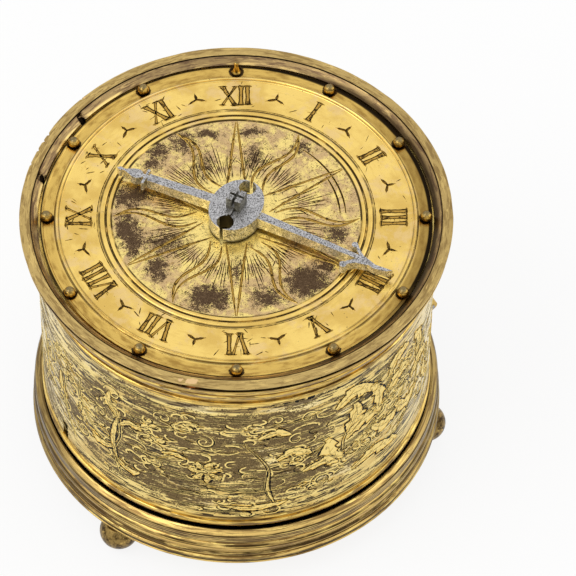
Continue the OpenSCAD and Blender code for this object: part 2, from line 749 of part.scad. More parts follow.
module pillars() {
    h = pillar_h;
    color(iron) for (a = pillar_dirs) at(polar(pillar_ring_r, a)) difference() {
        union() {
            translate([0, 0, back_top]) turned(concat(
                [[0, 0], [pillar_r + 0.5, 0], [pillar_r + 0.5, 0.8], [pillar_r - 0.1, 1.2],
                    [pillar_r, h / 2 - 1.2]],
                bead(pillar_r, h / 2 - 1.2, 2.4, 0.5),
                [[pillar_r, h / 2 + 1.2], [pillar_r - 0.1, h - 1.2], [pillar_r + 0.5, h - 0.8],
                    [pillar_r + 0.5, h], [0, h]]
            ));
            translate([0, 0, back_z - 1.5]) cylinder(r = tenon_r, h = plate_t + 1.6);
            translate([0, 0, front_z - 0.1]) cylinder(r = tenon_r, h = plate_t + 0.3);
        }
        translate([0, 0, back_z - 0.6]) rotate([0, 0, a + 90]) rotate([0, 90, 0])
            cylinder(r = 0.34, h = 6, center = true);
    }
}

module pillar_pins() {
    color(iron) for (a = pillar_dirs) at(polar(pillar_ring_r, a), back_z - 0.6)
        rotate([0, 0, a + 90]) taper_pin(4.4, 0.32);
}

// One kind of screw fixes the cock and carries the levers on the back plate
module plate_screws() {
    color(steel) for (i = [0:len(screw_places) - 1]) at(screw_places[i]) {
        head_z = i == 0 ? cock_z - 0.9 : back_z - 2.6;
        shoulder = i == 0 ? screw_r : screw_r + 0.2;
        difference() {
            union() {
                translate([0, 0, head_z]) cylinder(r = 1.35, h = 0.9);
                translate([0, 0, head_z]) cylinder(r = screw_r, h = back_top - head_z - 0.05);
                translate([0, 0, head_z]) cylinder(r = shoulder, h = back_z - head_z);
            }
            translate([-2, -0.18, head_z - 1]) cube([4, 0.36, 1.35]);
        }
    }
}

// Mainspring barrel

barrel_cap_t = barrel_disc_t;

module barrel() {
    color(iron) at(barrel_at) difference() {
        translate([0, 0, barrel_z]) cylinder(r = barrel_r, h = barrel_top - barrel_z);
        translate([0, 0, barrel_z + barrel_disc_t])
            cylinder(r = barrel_r - barrel_wall, h = barrel_top - barrel_z);
        translate([0, 0, barrel_z - 1]) cylinder(r = barrel_arbor_r + run_fit, h = 5);
    }
}

module barrel_cap() {
    color(iron) at(barrel_at) difference() {
        translate([0, 0, barrel_top - barrel_cap_t])
            cylinder(r = barrel_r - barrel_wall - still_fit, h = barrel_cap_t);
        translate([0, 0, barrel_top - 3]) cylinder(r = barrel_arbor_r + run_fit, h = 5);
        translate([barrel_r - barrel_wall - 1.2, -0.8, barrel_top - 2]) cube([2, 1.6, 3]);
    }
}

module barrel_arbor() {
    color(steel) at(barrel_at) {
        translate([0, 0, back_top + 0.3]) cylinder(r = barrel_arbor_r, h = pillar_h - 0.6);
        translate([0, 0, back_z]) cylinder(r = barrel_pivot_r, h = pillar_h + 2 * plate_t);
        translate([0, 0, cock_z - 0.6]) rotate([0, 0, click_dir])
            square_rod(square_side * 0.92, back_z - cock_z + 0.7);
    }
}

// A flat coiled spring, its outer end at the wall and its inner end at the arbor
module mainspring() {
    outer = barrel_r - barrel_wall - 0.25;
    inner = barrel_arbor_r + run_fit + 0.12;
    steps = spring_turns * 16;
    function coil_r(i) = mix(inner, outer - spring_t, pow(i / steps, 0.7));
    low = barrel_z + barrel_disc_t + 0.4;
    color(blued) at(barrel_at, low) linear_extrude(barrel_top - barrel_cap_t - low - 0.4)
        polygon(concat(
            [for (i = [0:steps]) polar(coil_r(i), i * 22.5)],
            [for (i = [steps:-1:0]) polar(coil_r(i) + spring_t, i * 22.5)]
        ));
}

ratchet_t = 1;
ratchet_z = back_z - 0.4 - ratchet_t;
ratchet_root_r = ratchet_r - 0.8;

module setup_ratchet() {
    color(steel) at(barrel_at, ratchet_z) rotate([0, 0, click_dir]) difference() {
        linear_extrude(ratchet_t) polygon(ratchet_points(ratchet_teeth, ratchet_r, ratchet_root_r));
        translate([0, 0, -1]) square_rod(square_side * 0.92 + 2 * still_fit, ratchet_t + 2);
    }
}

// The click's beak drops behind a tooth; it is drawn in the frame of the barrel
module setup_click() {
    beak = polar(ratchet_r - 0.35, click_dir + 17.5);
    color(steel) at(barrel_at, ratchet_z) difference() {
        linear_extrude(ratchet_t) {
            lever_outline([polar(click_reach, click_dir), beak + polar(0.9, click_dir + 50)],
                [1.5, 0.45]);
            lever_outline([polar(click_reach, click_dir), polar(click_reach + 2.4, click_dir - 25)],
                [1.1, 0.6]);
        }
        at(polar(click_reach, click_dir), -1) cylinder(r = screw_r + 0.2 + run_fit, h = ratchet_t + 2);
    }
}

// A leaf spring that presses on the click's back
module click_spring() {
    color(blued) at(barrel_at, ratchet_z + 0.1) linear_extrude(0.8 + 0.3)
        lever_outline([polar(11.2, click_dir + 42), polar(9.2, click_dir + 22),
            polar(8.9, click_dir + 10)], [0.9, 0.3, 0.22]);
}

// Fusee

function fusee_radius(z) = let (t = (z - fusee_low) / fusee_h)
    1 / mix(1 / fusee_small_r, 1 / fusee_big_r, max(0, min(1, t)));

module great_wheel() {
    color(iron) at(fusee_at, great_z) rotate([0, 0, second_dir])
        crossed_wheel(great_teeth, great_mod, wheel_t, 2, 5.4, fusee_pivot_r + still_fit, 5, 1.9);
}

module fusee() {
    grooves = floor(fusee_h / fusee_pitch) - 1;
    deep = 0.3;
    color(iron) at(fusee_at) difference() {
        turned(concat(
            [[0, fusee_low - fusee_snail_t], [fusee_small_r + 0.6, fusee_low - fusee_snail_t],
                [fusee_small_r + 0.6, fusee_low], [fusee_radius(fusee_low), fusee_low]],
            [for (i = [0:grooves]) let (z = fusee_low + 0.35 + i * fusee_pitch)
                each [[fusee_radius(z), z],
                    [fusee_radius(z + fusee_pitch / 2) - deep, z + fusee_pitch / 2]]],
            [[fusee_big_r, fusee_flange_z], [fusee_big_r + 0.9, fusee_flange_z],
                [fusee_big_r + 0.9, fusee_ratchet_z], [0, fusee_ratchet_z]]
        ));
        translate([0, 0, fusee_low - 2]) cylinder(r = fusee_pivot_r + 0.6 + still_fit, h = fusee_h + 5);
    }
    // The beak that meets the stop lever
    color(iron) at(fusee_at, fusee_low - fusee_snail_t) difference() {
        linear_extrude(fusee_snail_t)
            polygon([polar(fusee_small_r, 100), polar(fusee_beak_r, 125), polar(fusee_small_r, 135),
                polar(3, 118)]);
        translate([0, 0, -1]) cylinder(r = fusee_small_r + 0.6 - tiny, h = 3);
    }
}

module fusee_arbor() {
    low = back_z - square_reach;
    color(steel) at(fusee_at) {
        translate([0, 0, back_top + 0.4]) cylinder(r = fusee_pivot_r + 0.6, h = great_z - back_top - 0.45);
        translate([0, 0, back_z - 0.2])
            cylinder(r = fusee_pivot_r, h = hour_z + hour_wheel_t - back_z + 0.6);
        translate([0, 0, low]) square_rod(square_side * 0.62, back_z - low);
    }
}

fusee_ratchet_teeth = 16;
fusee_click_dir = 30;

module fusee_ratchet() {
    color(steel) at(fusee_at, fusee_ratchet_z + still_fit) rotate([0, 0, fusee_click_dir]) difference() {
        linear_extrude(fusee_ratchet_t - still_fit)
            polygon(ratchet_points(fusee_ratchet_teeth, fusee_ratchet_r, fusee_ratchet_r - 0.9));
        translate([0, 0, -1]) cylinder(r = fusee_pivot_r + 0.6 + still_fit, h = fusee_ratchet_t + 2);
    }
}

module fusee_click() {
    beak = polar(fusee_ratchet_r - 0.2, fusee_click_dir + 22.5 + 3);
    color(steel) at(fusee_at, fusee_ratchet_z + still_fit) difference() {
        linear_extrude(fusee_ratchet_t + 0.1 - 2 * still_fit)
            lever_outline([polar(9, fusee_click_dir + 40), beak + polar(0.55, fusee_click_dir + 60)],
                [0.9, 0.35]);
        at(polar(9, fusee_click_dir + 40), -1) cylinder(r = 0.35, h = 3);
    }
}

module report_pinion() {
    color(steel) at(fusee_at, hour_z - 0.3)
        rotate([0, 0, fusee_dir + 180 + 180 / report_leaves]) difference() {
            linear_extrude(hour_wheel_t + 0.6) pinion_outline(report_leaves, hour_mod);
            translate([0, 0, -1]) cylinder(r = fusee_pivot_r + still_fit, h = 5);
        }
}

// A round line swept along points: 8 sides, one ring for each point
module swept_line(path, r) {
    n = len(path);
    s = 8;
    function dir(i) = let (d = path[min(i + 1, n - 1)] - path[max(i - 1, 0)]) d / norm(d);
    function side(d) = let (v = cross([0, 0, 1], d)) v / norm(v);
    rings = [for (i = [0:n - 1]) let (d = dir(i), u = side(d), w = cross(d, u))
        for (k = [0:s - 1]) path[i] + r * (u * cos(k * 360 / s) + w * sin(k * 360 / s))];
    quads = [for (i = [0:n - 2]) for (k = [0:s - 1])
        let (a = i * s + k, b = i * s + (k + 1) % s)
        each [[a, a + s, b], [b, a + s, b + s]]];
    low_cap = [for (k = [1:s - 2]) [0, k, k + 1]];
    high_cap = [for (k = [1:s - 2]) [(n - 1) * s, (n - 1) * s + k + 1, (n - 1) * s + k]];
    polyhedron(rings, concat(quads, low_cap, high_cap));
}

// The gut: some turns on the barrel, a free span, and the rest on the fusee
module gut_line() {
    step = 18;
    // The line runs in chords, so its turns stand out by what a chord cuts off
    barrel_coil_r = (barrel_r + gut_r + lay_gap) / cos(step / 2);
    span_z = barrel_z + 3 + gut_barrel_turns * fusee_pitch;
    skin = gut_r + 0.28;
    fusee_coil_r = fusee_radius(span_z) + skin;
    between = barrel_at - fusee_at;
    line_dir = atan2(between[1], between[0]) - 90
        - asin((barrel_coil_r - fusee_coil_r) / norm(between));
    fusee_turns = (fusee_flange_z - 1.2 - span_z) / fusee_pitch;
    on_barrel = [for (i = [gut_barrel_turns * 360 / step:-1:0]) let (a = i * step)
        [each barrel_at + polar(barrel_coil_r, line_dir + a),
            span_z - fusee_pitch * a / 360]];
    on_fusee = [for (i = [0:floor(fusee_turns * 360 / step)])
        let (a = i * step, z = span_z + fusee_pitch * a / 360)
        [each fusee_at + polar(fusee_radius(z) + skin, line_dir - a), z]];
    color([0.75, 0.62, 0.42]) swept_line(concat(on_barrel, on_fusee), gut_r);
}

stop_z = fusee_low - fusee_snail_t - 0.1;
stop_t = 1.1;
stop_pin_r = 0.45;

// The stop lever turns on a cross pin in its block, and lies beside the fusee's small end
module stop_lever() {
    color(steel) at(stop_block_at, stop_z) difference() {
        union() {
            translate([0, -0.55, 0]) cube([stop_reach + 2, 1.1, stop_t]);
            rotate([90, 0, 0]) translate([0, stop_t / 2, -0.55]) cylinder(r = 1, h = 1.1);
        }
        rotate([90, 0, 0]) translate([0, stop_t / 2, -3]) cylinder(r = stop_pin_r + run_fit, h = 6);
    }
}

module stop_block() {
    h = stop_z + stop_t / 2 - back_top;
    color(iron) at(stop_block_at, back_top) {
        difference() {
            union() {
                translate([-1.4, -2, 0]) cube([2.8, 4, h]);
                translate([0, 2, h]) rotate([90, 0, 0]) cylinder(r = 1.4, h = 4);
            }
            translate([-3, -0.55 - hinge_play, h - 1.5]) cube([6, 1.1 + 2 * hinge_play, 5]);
        }
        translate([0, 2.1, h]) rotate([90, 0, 0]) cylinder(r = stop_pin_r, h = 4.2);
    }
}

// Going train

module second_wheel() {
    color(iron) at(second_at, second_z) rotate([0, 0, contrate_dir])
        crossed_wheel(second_teeth, second_mod, second_t, wheel_rim, 2.2, arbor_r + still_fit, 4, 1.2);
}

// An arbor between the plates with a pinion cut on it
module pinion_arbor(place, leaves, mod, pinion_z, pinion_h, turn) {
    at(place) {
        translate([0, 0, back_top + 0.25]) cylinder(r = arbor_r, h = pillar_h - 0.5);
        translate([0, 0, back_z + 0.1]) cylinder(r = pivot_r, h = pillar_h + 2 * plate_t - 0.2);
        translate([0, 0, pinion_z]) rotate([0, 0, turn])
            linear_extrude(pinion_h) pinion_outline(leaves, mod);
    }
}

module second_arbor() {
    color(steel) pinion_arbor(second_at, second_leaves, great_mod, great_z - pinion_over,
        second_z - great_z + pinion_over - still_fit, second_dir + 180 + 180 / second_leaves);
}

module contrate_arbor() {
    color(steel) pinion_arbor(contrate_at, contrate_leaves, second_mod, second_z - pinion_over,
        second_t + pinion_over + 0.15, contrate_dir + 180 + 180 / contrate_leaves);
}

// The contrate wheel: a crown of teeth that points down to the crown wheel's pinion
module contrate_wheel() {
    n = contrate_teeth;
    in_r = contrate_r - contrate_band / 2;
    out_r = contrate_r + contrate_band / 2;
    tooth_w = contrate_mod * 1.1;
    tip_w = contrate_mod * 0.35;
    tooth_h = contrate_root_z - contrate_tip_z;
    disc_t = 0.9;
    disc_z = contrate_root_z + contrate_rim_h - disc_t;
    color(iron) at(contrate_at) {
        difference() {
            translate([0, 0, contrate_root_z]) cylinder(r = out_r, h = contrate_rim_h);
            translate([0, 0, contrate_root_z - 1]) cylinder(r = in_r, h = contrate_rim_h - disc_t + 1);
            translate([0, 0, disc_z - 1]) linear_extrude(disc_t + 2) difference() {
                circle(in_r - 0.3);
                circle(2);
                for (i = [0:2]) rotate(i * 120) translate([0, -0.6]) square([out_r, 1.2]);
            }
            translate([0, 0, disc_z - 1]) cylinder(r = arbor_r + still_fit, h = 5);
        }
        for (i = [0:n - 1]) rotate([0, 0, crown_dir + i * 360 / n])
            translate([in_r + 0.08, 0, contrate_root_z]) rotate([90, 0, 90])
                linear_extrude(contrate_band - 0.16) polygon([[-tooth_w / 2, 0.1],
                    [-tip_w / 2, -tooth_h], [tip_w / 2, -tooth_h], [tooth_w / 2, 0.1]]);
    }
}

// Everything on the crown wheel's arbor is drawn along +Z from the verge, then laid down
module along_crown() {
    translate([verge_at[0], verge_at[1], crown_z]) rotate([0, 0, crown_dir + 180])
        rotate([0, 90, 0]) children();
}

crown_tooth_h = 1.6;
crown_band = 0.6;
crown_rim_h = 1.4;
crown_disc_t = 0.5;
crown_arbor_r = 0.45;
crown_pivot_r = 0.25;
potence_nose = 2.3;
counter_at = 10.7;
counter_t = 1.3;

module crown_wheel() {
    tooth_w = 2 * PI * crown_r / crown_teeth;
    base = verge_gap + crown_tooth_h;
    color(iron) along_crown() {
        difference() {
            translate([0, 0, base]) cylinder(r = crown_r, h = crown_rim_h);
            translate([0, 0, base - 1]) cylinder(r = crown_r - crown_band, h = crown_rim_h - crown_disc_t + 1);
            translate([0, 0, base - 1]) cylinder(r = crown_arbor_r + still_fit, h = 5);
            translate([0, 0, base - 1]) linear_extrude(5) difference() {
                circle(crown_r - crown_band);
                circle(1.3);
                for (i = [0:2]) rotate(i * 120) translate([0, -0.5]) square([crown_r, 1]);
            }
        }
        intersection() {
            difference() {
                translate([0, 0, verge_gap]) cylinder(r = crown_r, h = crown_tooth_h + 0.05);
                translate([0, 0, verge_gap - 1]) cylinder(r = crown_r - crown_band, h = crown_tooth_h + 2);
            }
            for (i = [0:crown_teeth - 1]) rotate([0, 0, i * 360 / crown_teeth])
                translate([crown_r - crown_band - 0.3, 0, base]) rotate([90, 0, 90])
                    linear_extrude(crown_band + 0.6) polygon([[-tooth_w * 0.42, 0.05],
                        [-tooth_w * 0.42, 0], [-tooth_w * 0.1, -crown_tooth_h * 0.45],
                        [tooth_w * 0.32, -crown_tooth_h], [tooth_w * 0.42, -crown_tooth_h],
                        [tooth_w * 0.3, 0], [tooth_w * 0.3, 0.05]]);
        }
    }
}

module crown_arbor() {
    pinion_at = crown_reach - contrate_r;
    color(steel) along_crown() {
        translate([0, 0, potence_nose + 0.1]) cylinder(r = crown_arbor_r, h = counter_at - potence_nose - 0.2);
        translate([0, 0, potence_nose - 1.2])
            cylinder(r = crown_pivot_r, h = counter_at + counter_t - potence_nose + 1.1);
        translate([0, 0, pinion_at - 1.1]) rotate([0, 0, 180 / crown_leaves])
            linear_extrude(2.2) pinion_outline(crown_leaves, contrate_mod);
    }
}

// Frame of the crown wheel: X from the verge to the contrate arbor
module beside_verge() {
    translate([verge_at[0], verge_at[1], 0]) rotate([0, 0, crown_dir + 180]) children();
}

module potence() {
    post_y = -4.3;
    post_t = 1.6;
    color(iron) beside_verge() difference() {
        union() {
            translate([-1.3, post_y, back_top]) cube([2.2, post_t, potence_top - back_top]);
            translate([-1.3, post_y, potence_top - 1]) cube([2.2, 1.3 - post_y, 1]);
            translate([-0.5, post_y, crown_z - 0.9]) cube([1.4, -1 - post_y, 1.8]);
            translate([0.85, -2.3, crown_z - 0.9]) cube([potence_nose - 0.85, 3.2, 1.8]);
            translate([-2.4, post_y - 0.6, back_top]) cube([3.3, post_t + 0.6, 1]);
        }
        translate([0, 0, potence_top - 2]) cylinder(r = pivot_r * 0.7 + run_fit, h = 3);
        translate([0, 0, crown_z]) rotate([0, 90, 0]) cylinder(r = crown_pivot_r + run_fit, h = 6);
    }
}

module counter_potence() {
    color(iron) beside_verge() difference() {
        union() {
            translate([counter_at, -1.2, back_top]) cube([counter_t, 2.4, crown_z + 1.1 - back_top]);
            translate([counter_at - 0.6, -2, back_top]) cube([counter_t + 1.2, 4, 0.9]);
        }
        translate([counter_at - 1, 0, crown_z]) rotate([0, 90, 0])
            cylinder(r = crown_pivot_r + run_fit, h = counter_t + 2);
    }
}

// Escapement

verge_pivot_r = pivot_r * 0.7;

// One pallet: a thin flag from the staff, turned to its own side
module pallet(z, turn) {
    translate([0, 0, z]) rotate([0, 0, turn]) translate([0, -0.17, -0.9]) cube([pallet_reach, 0.34, 1.8]);
}

module verge() {
    arm = crown_r - crown_band / 2;
    color(steel) beside_verge() {
        translate([0, 0, cock_z + cock_t + 0.1])
            cylinder(r = verge_r, h = potence_top - 1.1 - cock_z - cock_t - 0.1);
        translate([0, 0, cock_z]) cylinder(r = verge_pivot_r, h = potence_top - cock_z - 0.1);
        pallet(crown_z + arm, pallet_angle / 2);
        pallet(crown_z - arm, -pallet_angle / 2);
    }
}

module foliot() {
    bar_end = foliot_half - foliot_weight_r - 0.6;
    color(steel) at(verge_at, foliot_z) rotate([0, 0, foliot_dir]) difference() {
        union() {
            linear_extrude(foliot_t) {
                lever_outline([[0, 0], [bar_end, 0]], [1.1, 0.55]);
                lever_outline([[0, 0], [-bar_end, 0]], [1.1, 0.55]);
            }
            for (s = [-1, 1]) translate([s * bar_end, 0, foliot_t / 2])
                rotate([0, s * 90, 0]) cylinder(r = 0.4, h = foliot_weight_r + 0.55);
        }
        translate([0, 0, -1]) cylinder(r = verge_r + still_fit, h = foliot_t + 2);
    }
}

// Two turned weights, one at each end of the foliot
module foliot_weights() {
    color(old_gold) at(verge_at, foliot_weight_z) rotate([0, 0, foliot_dir])
        for (s = [-1, 1]) translate([s * foliot_half, 0, 0]) difference() {
            turned([[0, 0], [foliot_weight_r * 0.5, 0], [foliot_weight_r, 0.7],
                [foliot_weight_r, foliot_weight_h - 0.7], [foliot_weight_r * 0.5, foliot_weight_h],
                [0, foliot_weight_h]]);
            translate([0, 0, foliot_weight_h / 2]) rotate([0, -s * 90, 0])
                cylinder(r = 0.4 + still_fit, h = 4);
        }
}

module balance_cock() {
    at_foot = cock_at - verge_at;
    side = polar(3.4, cock_dir + 90);
    color(old_gold) at(verge_at) difference() {
        union() {
            translate([0, 0, cock_z]) linear_extrude(cock_t)
                lever_outline([[0, 0], at_foot * 0.55 + side * 0.3, at_foot * 0.85, at_foot],
                    [1.7, 1.2, 1.7, 2.4]);
            at(at_foot, cock_z + cock_t - tiny) cylinder(r = 2.1, h = back_z - cock_z - cock_t + tiny);
        }
        translate([0, 0, cock_z - 1]) cylinder(r = verge_pivot_r + run_fit, h = cock_t + 2);
        at(at_foot, cock_z - 1) cylinder(r = screw_r + still_fit, h = back_z - cock_z + 2);
    }
}

bristle_z = back_z - 1.35;
bristle_arm_t = 1;
bristle_spread = 3.6;
bristle_at_reach = bristle_reach - 5.2;

module bristle_arm() {
    color(steel) at(bristle_at, bristle_z) rotate([0, 0, bristle_dir + 180]) difference() {
        linear_extrude(bristle_arm_t) {
            lever_outline([[-3, 0], [0, 0], [bristle_at_reach, 0]], [0.5, 1.6, 0.7]);
            lever_outline([[bristle_at_reach, -bristle_spread], [bristle_at_reach, bristle_spread]],
                [0.6, 0.6]);
        }
        translate([0, 0, -1]) cylinder(r = screw_r + 0.2 + run_fit, h = 4);
    }
}

module bristles() {
    color([0.2, 0.17, 0.13]) at(bristle_at, foliot_z - 0.5) rotate([0, 0, bristle_dir + 180])
        for (s = [-1, 1]) translate([bristle_at_reach, s * bristle_spread, 0])
            cylinder(r = 0.16, h = bristle_z - foliot_z + 0.5);
}

// A turning latch: its round end reaches the groove inside the wall
module movement_latch(dir) {
    reach = drum_in + latch_groove - 0.15 - latch_at_r;
    color(steel) at(polar(latch_at_r, dir), back_z - 1.35) rotate([0, 0, dir]) difference() {
        linear_extrude(0.95) intersection() {
            lever_outline([[-2, 0], [0, 0], [reach, 0]], [0.8, 1.7, 1.3]);
            circle(reach);
        }
        translate([0, 0, -1]) cylinder(r = screw_r + 0.2 + run_fit, h = 3);
    }
}

module movement_latch_a() {
    movement_latch(latch_dirs[0]);
}

module movement_latch_b() {
    movement_latch(latch_dirs[1]);
}

// Base

module base_ring() {
    b = base_z;
    m = base_z + base_low_h;
    t = base_top;
    flange_in = base_bore_r - base_flange;
    color(dull_brass) difference() {
        turned(concat(
            [[flange_in, b], [base_r - 0.35, b]],
            bead(base_r - 0.35, b, base_low_h - 0.05, 0.35),
            [[base_r - 0.4, m]],
            bead(base_r - 0.35, m + 0.05, 0.95, 0.35),
            [[base_r - 0.55, m + 1.05], [base_r - 0.35, m + 1.3], [base_r - 0.35, m + 1.7],
                [base_r - 0.6, m + 1.9], [base_r - 0.6, m + 2.5]],
            bead(base_r - 0.6, m + 2.55, 1.55, 0.42),
            [[base_r - 0.75, m + 4.2], [base_r - 0.75, m + 4.7], [base_r - 0.45, m + 4.9],
                [base_r - 0.45, t - 0.95], [base_r - 0.65, t - 0.5],
                [drum_r + 0.75, t], [drum_r + 0.7, t - base_rebate],
                [drum_r - 0.3, t - base_rebate], [drum_r - 0.3, drum_z], [base_bore_r, drum_z],
                [base_bore_r, b + base_plate_t],
                [flange_in, b + base_plate_t]]
        ));
        for (i = [0:foot_count - 1]) at(polar(foot_ring_r, foot_dir + i * 360 / foot_count), b - 1)
            cylinder(r = foot_rivet_r + still_fit, h = 3);
    }
}

module base_plate() {
    hole_r = base_bore_r - base_flange - still_fit;
    color(old_gold) translate([0, 0, base_z]) difference() {
        union() {
            cylinder(r = hole_r, h = base_plate_t);
            translate([0, 0, base_plate_t])
                cylinder(r = base_bore_r - still_fit * 2, h = base_plate_t * 0.7);
        }
        rotate([0, 0, hinge_dir + 180])
            translate([catch_in_r - 0.15, -catch_w / 2 - 0.2, base_plate_t])
                cube([5, catch_w + 0.4, 4]);
    }
}

module ball_feet() {
    color(dull_brass) for (i = [0:foot_count - 1])
        at(polar(foot_ring_r, foot_dir + i * 360 / foot_count)) {
            intersection() {
                translate([0, 0, foot_ball_r - foot_flat]) sphere(foot_ball_r);
                translate([-5, -5, 0]) cube([10, 10, base_z]);
            }
            translate([0, 0, base_z - tiny]) cylinder(r = foot_rivet_r, h = 1.7);
        }
}

catch_in_r = drum_in - 0.45 - catch_t;
hinge_z = base_top + parting_gap / 2;

// Frame of the hinge: X outwards, Y along the pin
module at_hinge() {
    rotate([0, 0, hinge_dir]) translate([hinge_at_r, 0, hinge_z]) children();
}

module knuckle(y) {
    translate([0, y, 0]) rotate([90, 0, 0]) cylinder(r = knuckle_r, h = knuckle_w - hinge_play,
        center = true);
}

module hinge_bore(fit) {
    rotate([90, 0, 0]) cylinder(r = hinge_pin_r + fit, h = knuckle_w * 4, center = true);
}

module hinge_ears() {
    web = hinge_at_r - drum_r - 0.45;
    color(old_gold) at_hinge() difference() {
        for (s = [-1, 1]) {
            knuckle(s * knuckle_w);
            translate([-web, s * knuckle_w - (knuckle_w - hinge_play) / 2, parting_gap / 2 + 0.1])
                cube([web, knuckle_w - hinge_play, 0.75]);
        }
        hinge_bore(still_fit);
    }
}

module hinge_leaf() {
    web = hinge_at_r - base_r + 0.4;
    color(dull_brass) at_hinge() difference() {
        union() {
            knuckle(0);
            translate([-web, -(knuckle_w - hinge_play) / 2, -2.2])
                cube([web + 0.2, knuckle_w - hinge_play, 1.6]);
        }
        hinge_bore(run_fit);
    }
}

module hinge_pin() {
    color(steel) at_hinge() rotate([90, 0, 0])
        cylinder(r = hinge_pin_r, h = knuckle_w * 3 + 0.5, center = true);
}

// The catch: a springy strip with its round lower end on the base's flange, and a nib near
// its upper end, behind the slot in the wall
module base_catch() {
    root_z = base_z + base_plate_t + 0.3;
    top = drum_z + slot_rise + 2.2;
    color(steel) rotate([0, 0, hinge_dir + 180]) translate([catch_in_r, 0, 0]) {
        translate([0, -catch_w / 2, root_z]) cube([catch_t, catch_w, top - root_z]);
        translate([catch_t / 2, catch_w / 2, root_z]) rotate([90, 0, 0])
            cylinder(r = catch_t / 2, h = catch_w);
        translate([catch_t - tiny, -slot_w * 0.4, top - 1.4]) cube([0.2, slot_w * 0.8, 1.2]);
    }
}

case_band();
bezel_rim();
dial_plate();
touch_studs();
noon_stud();
dial_feet();
dial_foot_pins();
hour_hand();
hour_arbor();
hand_pin();
hand_spring();
hour_wheel();
dial_side_plate();
back_plate();
pillars();
pillar_pins();
barrel();
barrel_cap();
barrel_arbor();
mainspring();
setup_ratchet();
setup_click();
click_spring();
great_wheel();
fusee();
fusee_arbor();
fusee_ratchet();
fusee_click();
report_pinion();
gut_line();
stop_lever();
stop_block();
second_wheel();
second_arbor();
contrate_wheel();
contrate_arbor();
crown_wheel();
crown_arbor();
potence();
counter_potence();
verge();
foliot();
foliot_weights();
balance_cock();
plate_screws();
bristle_arm();
bristles();
movement_latch_a();
movement_latch_b();
base_ring();
base_plate();
ball_feet();
hinge_ears();
hinge_leaf();
hinge_pin();
base_catch();
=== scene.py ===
"""Looks of the drum clock: camera, light, metals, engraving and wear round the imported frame."""
import functools
import math
import random

import bpy
from mathutils import Matrix, Vector


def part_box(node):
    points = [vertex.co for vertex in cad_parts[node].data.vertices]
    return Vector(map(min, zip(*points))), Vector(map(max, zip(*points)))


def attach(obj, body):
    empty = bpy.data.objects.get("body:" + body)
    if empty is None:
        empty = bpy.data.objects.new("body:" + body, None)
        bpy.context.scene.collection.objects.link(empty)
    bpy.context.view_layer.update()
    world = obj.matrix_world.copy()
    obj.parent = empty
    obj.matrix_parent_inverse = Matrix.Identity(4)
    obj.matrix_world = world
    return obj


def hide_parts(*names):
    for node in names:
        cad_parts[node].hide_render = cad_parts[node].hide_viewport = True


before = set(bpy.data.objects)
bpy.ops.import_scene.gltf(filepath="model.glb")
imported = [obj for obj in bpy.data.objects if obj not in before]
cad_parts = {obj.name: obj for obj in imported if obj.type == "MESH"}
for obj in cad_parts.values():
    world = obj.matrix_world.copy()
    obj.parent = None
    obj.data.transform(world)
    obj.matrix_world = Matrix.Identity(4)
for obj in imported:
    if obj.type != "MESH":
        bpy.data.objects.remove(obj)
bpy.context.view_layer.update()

MM = 0.001

# Radii and heights of the dial and the drum, in millimetres, from the frame
RIM_RISE = 1
DIAL_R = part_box("dial_plate")[1].x / MM
DIAL_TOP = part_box("bezel_rim")[1].z / MM - RIM_RISE
CENTRE_TOP = DIAL_TOP - 0.05
CHANNEL_IN_R = DIAL_R - 2.35
CHAPTER_IN_R = CHANNEL_IN_R - 7.15
CENTRE_R = CHAPTER_IN_R - 2.1
DRUM_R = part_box("bezel_rim")[1].x / MM - 2.65
DRUM_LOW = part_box("case_band")[0].z / MM
DRUM_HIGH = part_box("bezel_rim")[0].z / MM
RIM_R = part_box("bezel_rim")[1].x / MM
RIM_TOP = DIAL_TOP + RIM_RISE
RIM_FLAT_R = RIM_R - 1.7
RIM_BORE_R = DIAL_R + 0.4
STUD_RING_R = DIAL_R - 1.03
HAND_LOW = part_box("hour_hand")[0].z / MM
BASE_TOP = DRUM_LOW - 0.4

# The radii between which the boss's holes lie; how far cut lines stand off the metal; the hours and the
# half hours in degrees, and the radius of the marks at the half hours
BOSS_HOLES_IN_R, BOSS_HOLES_OUT_R = 2.2, 3.75
SKIN = 0.004
HOUR, HALF_HOUR = 30, 15
HALF_HOURS = range(HALF_HOUR, 360, HOUR)
DART_RING_R = 25.4

# The photograph's frame
IMAGE_SIDE = 576
SENSOR_WIDTH = 36.0
FOCAL_PIXELS = 4600
CAMERA_ELEVATION = math.radians(52)
CAMERA_DISTANCE = 742.6
DIAL_CENTRE_PIXEL = (236.4, 217.15)


def add_object(name, data):
    thing = bpy.data.objects.new(name, data)
    bpy.context.collection.objects.link(thing)
    return thing


def add_mesh(name, points, faces, materials):
    mesh = bpy.data.meshes.new(name)
    mesh.from_pydata(points, [], faces)
    for material in materials:
        mesh.materials.append(material)
    return add_object(name, mesh)


# Camera and light

def make_camera():
    """A long lens above the front, aimed so that the dial's centre meets its pixel."""
    rise, run = math.sin(CAMERA_ELEVATION), math.cos(CAMERA_ELEVATION)
    right, up = Vector((1, 0, 0)), Vector((0, rise, run))
    centre = Vector((0, 0, DIAL_TOP))
    place = centre + CAMERA_DISTANCE * Vector((0, -run, rise))
    off_x, off_y = [(IMAGE_SIDE / 2 - pixel) / FOCAL_PIXELS for pixel in DIAL_CENTRE_PIXEL]
    target = centre + CAMERA_DISTANCE * (off_x * right - off_y * up)
    data = bpy.data.cameras.new("camera")
    data.lens = FOCAL_PIXELS * SENSOR_WIDTH / IMAGE_SIDE
    data.sensor_width = SENSOR_WIDTH
    camera = add_object("camera", data)
    camera.location = place * MM
    ahead = (target - place).normalized()
    side = ahead.cross(up).normalized()
    camera.rotation_euler = Matrix((side, side.cross(ahead), -ahead)).transposed().to_euler()
    bpy.context.scene.camera = camera


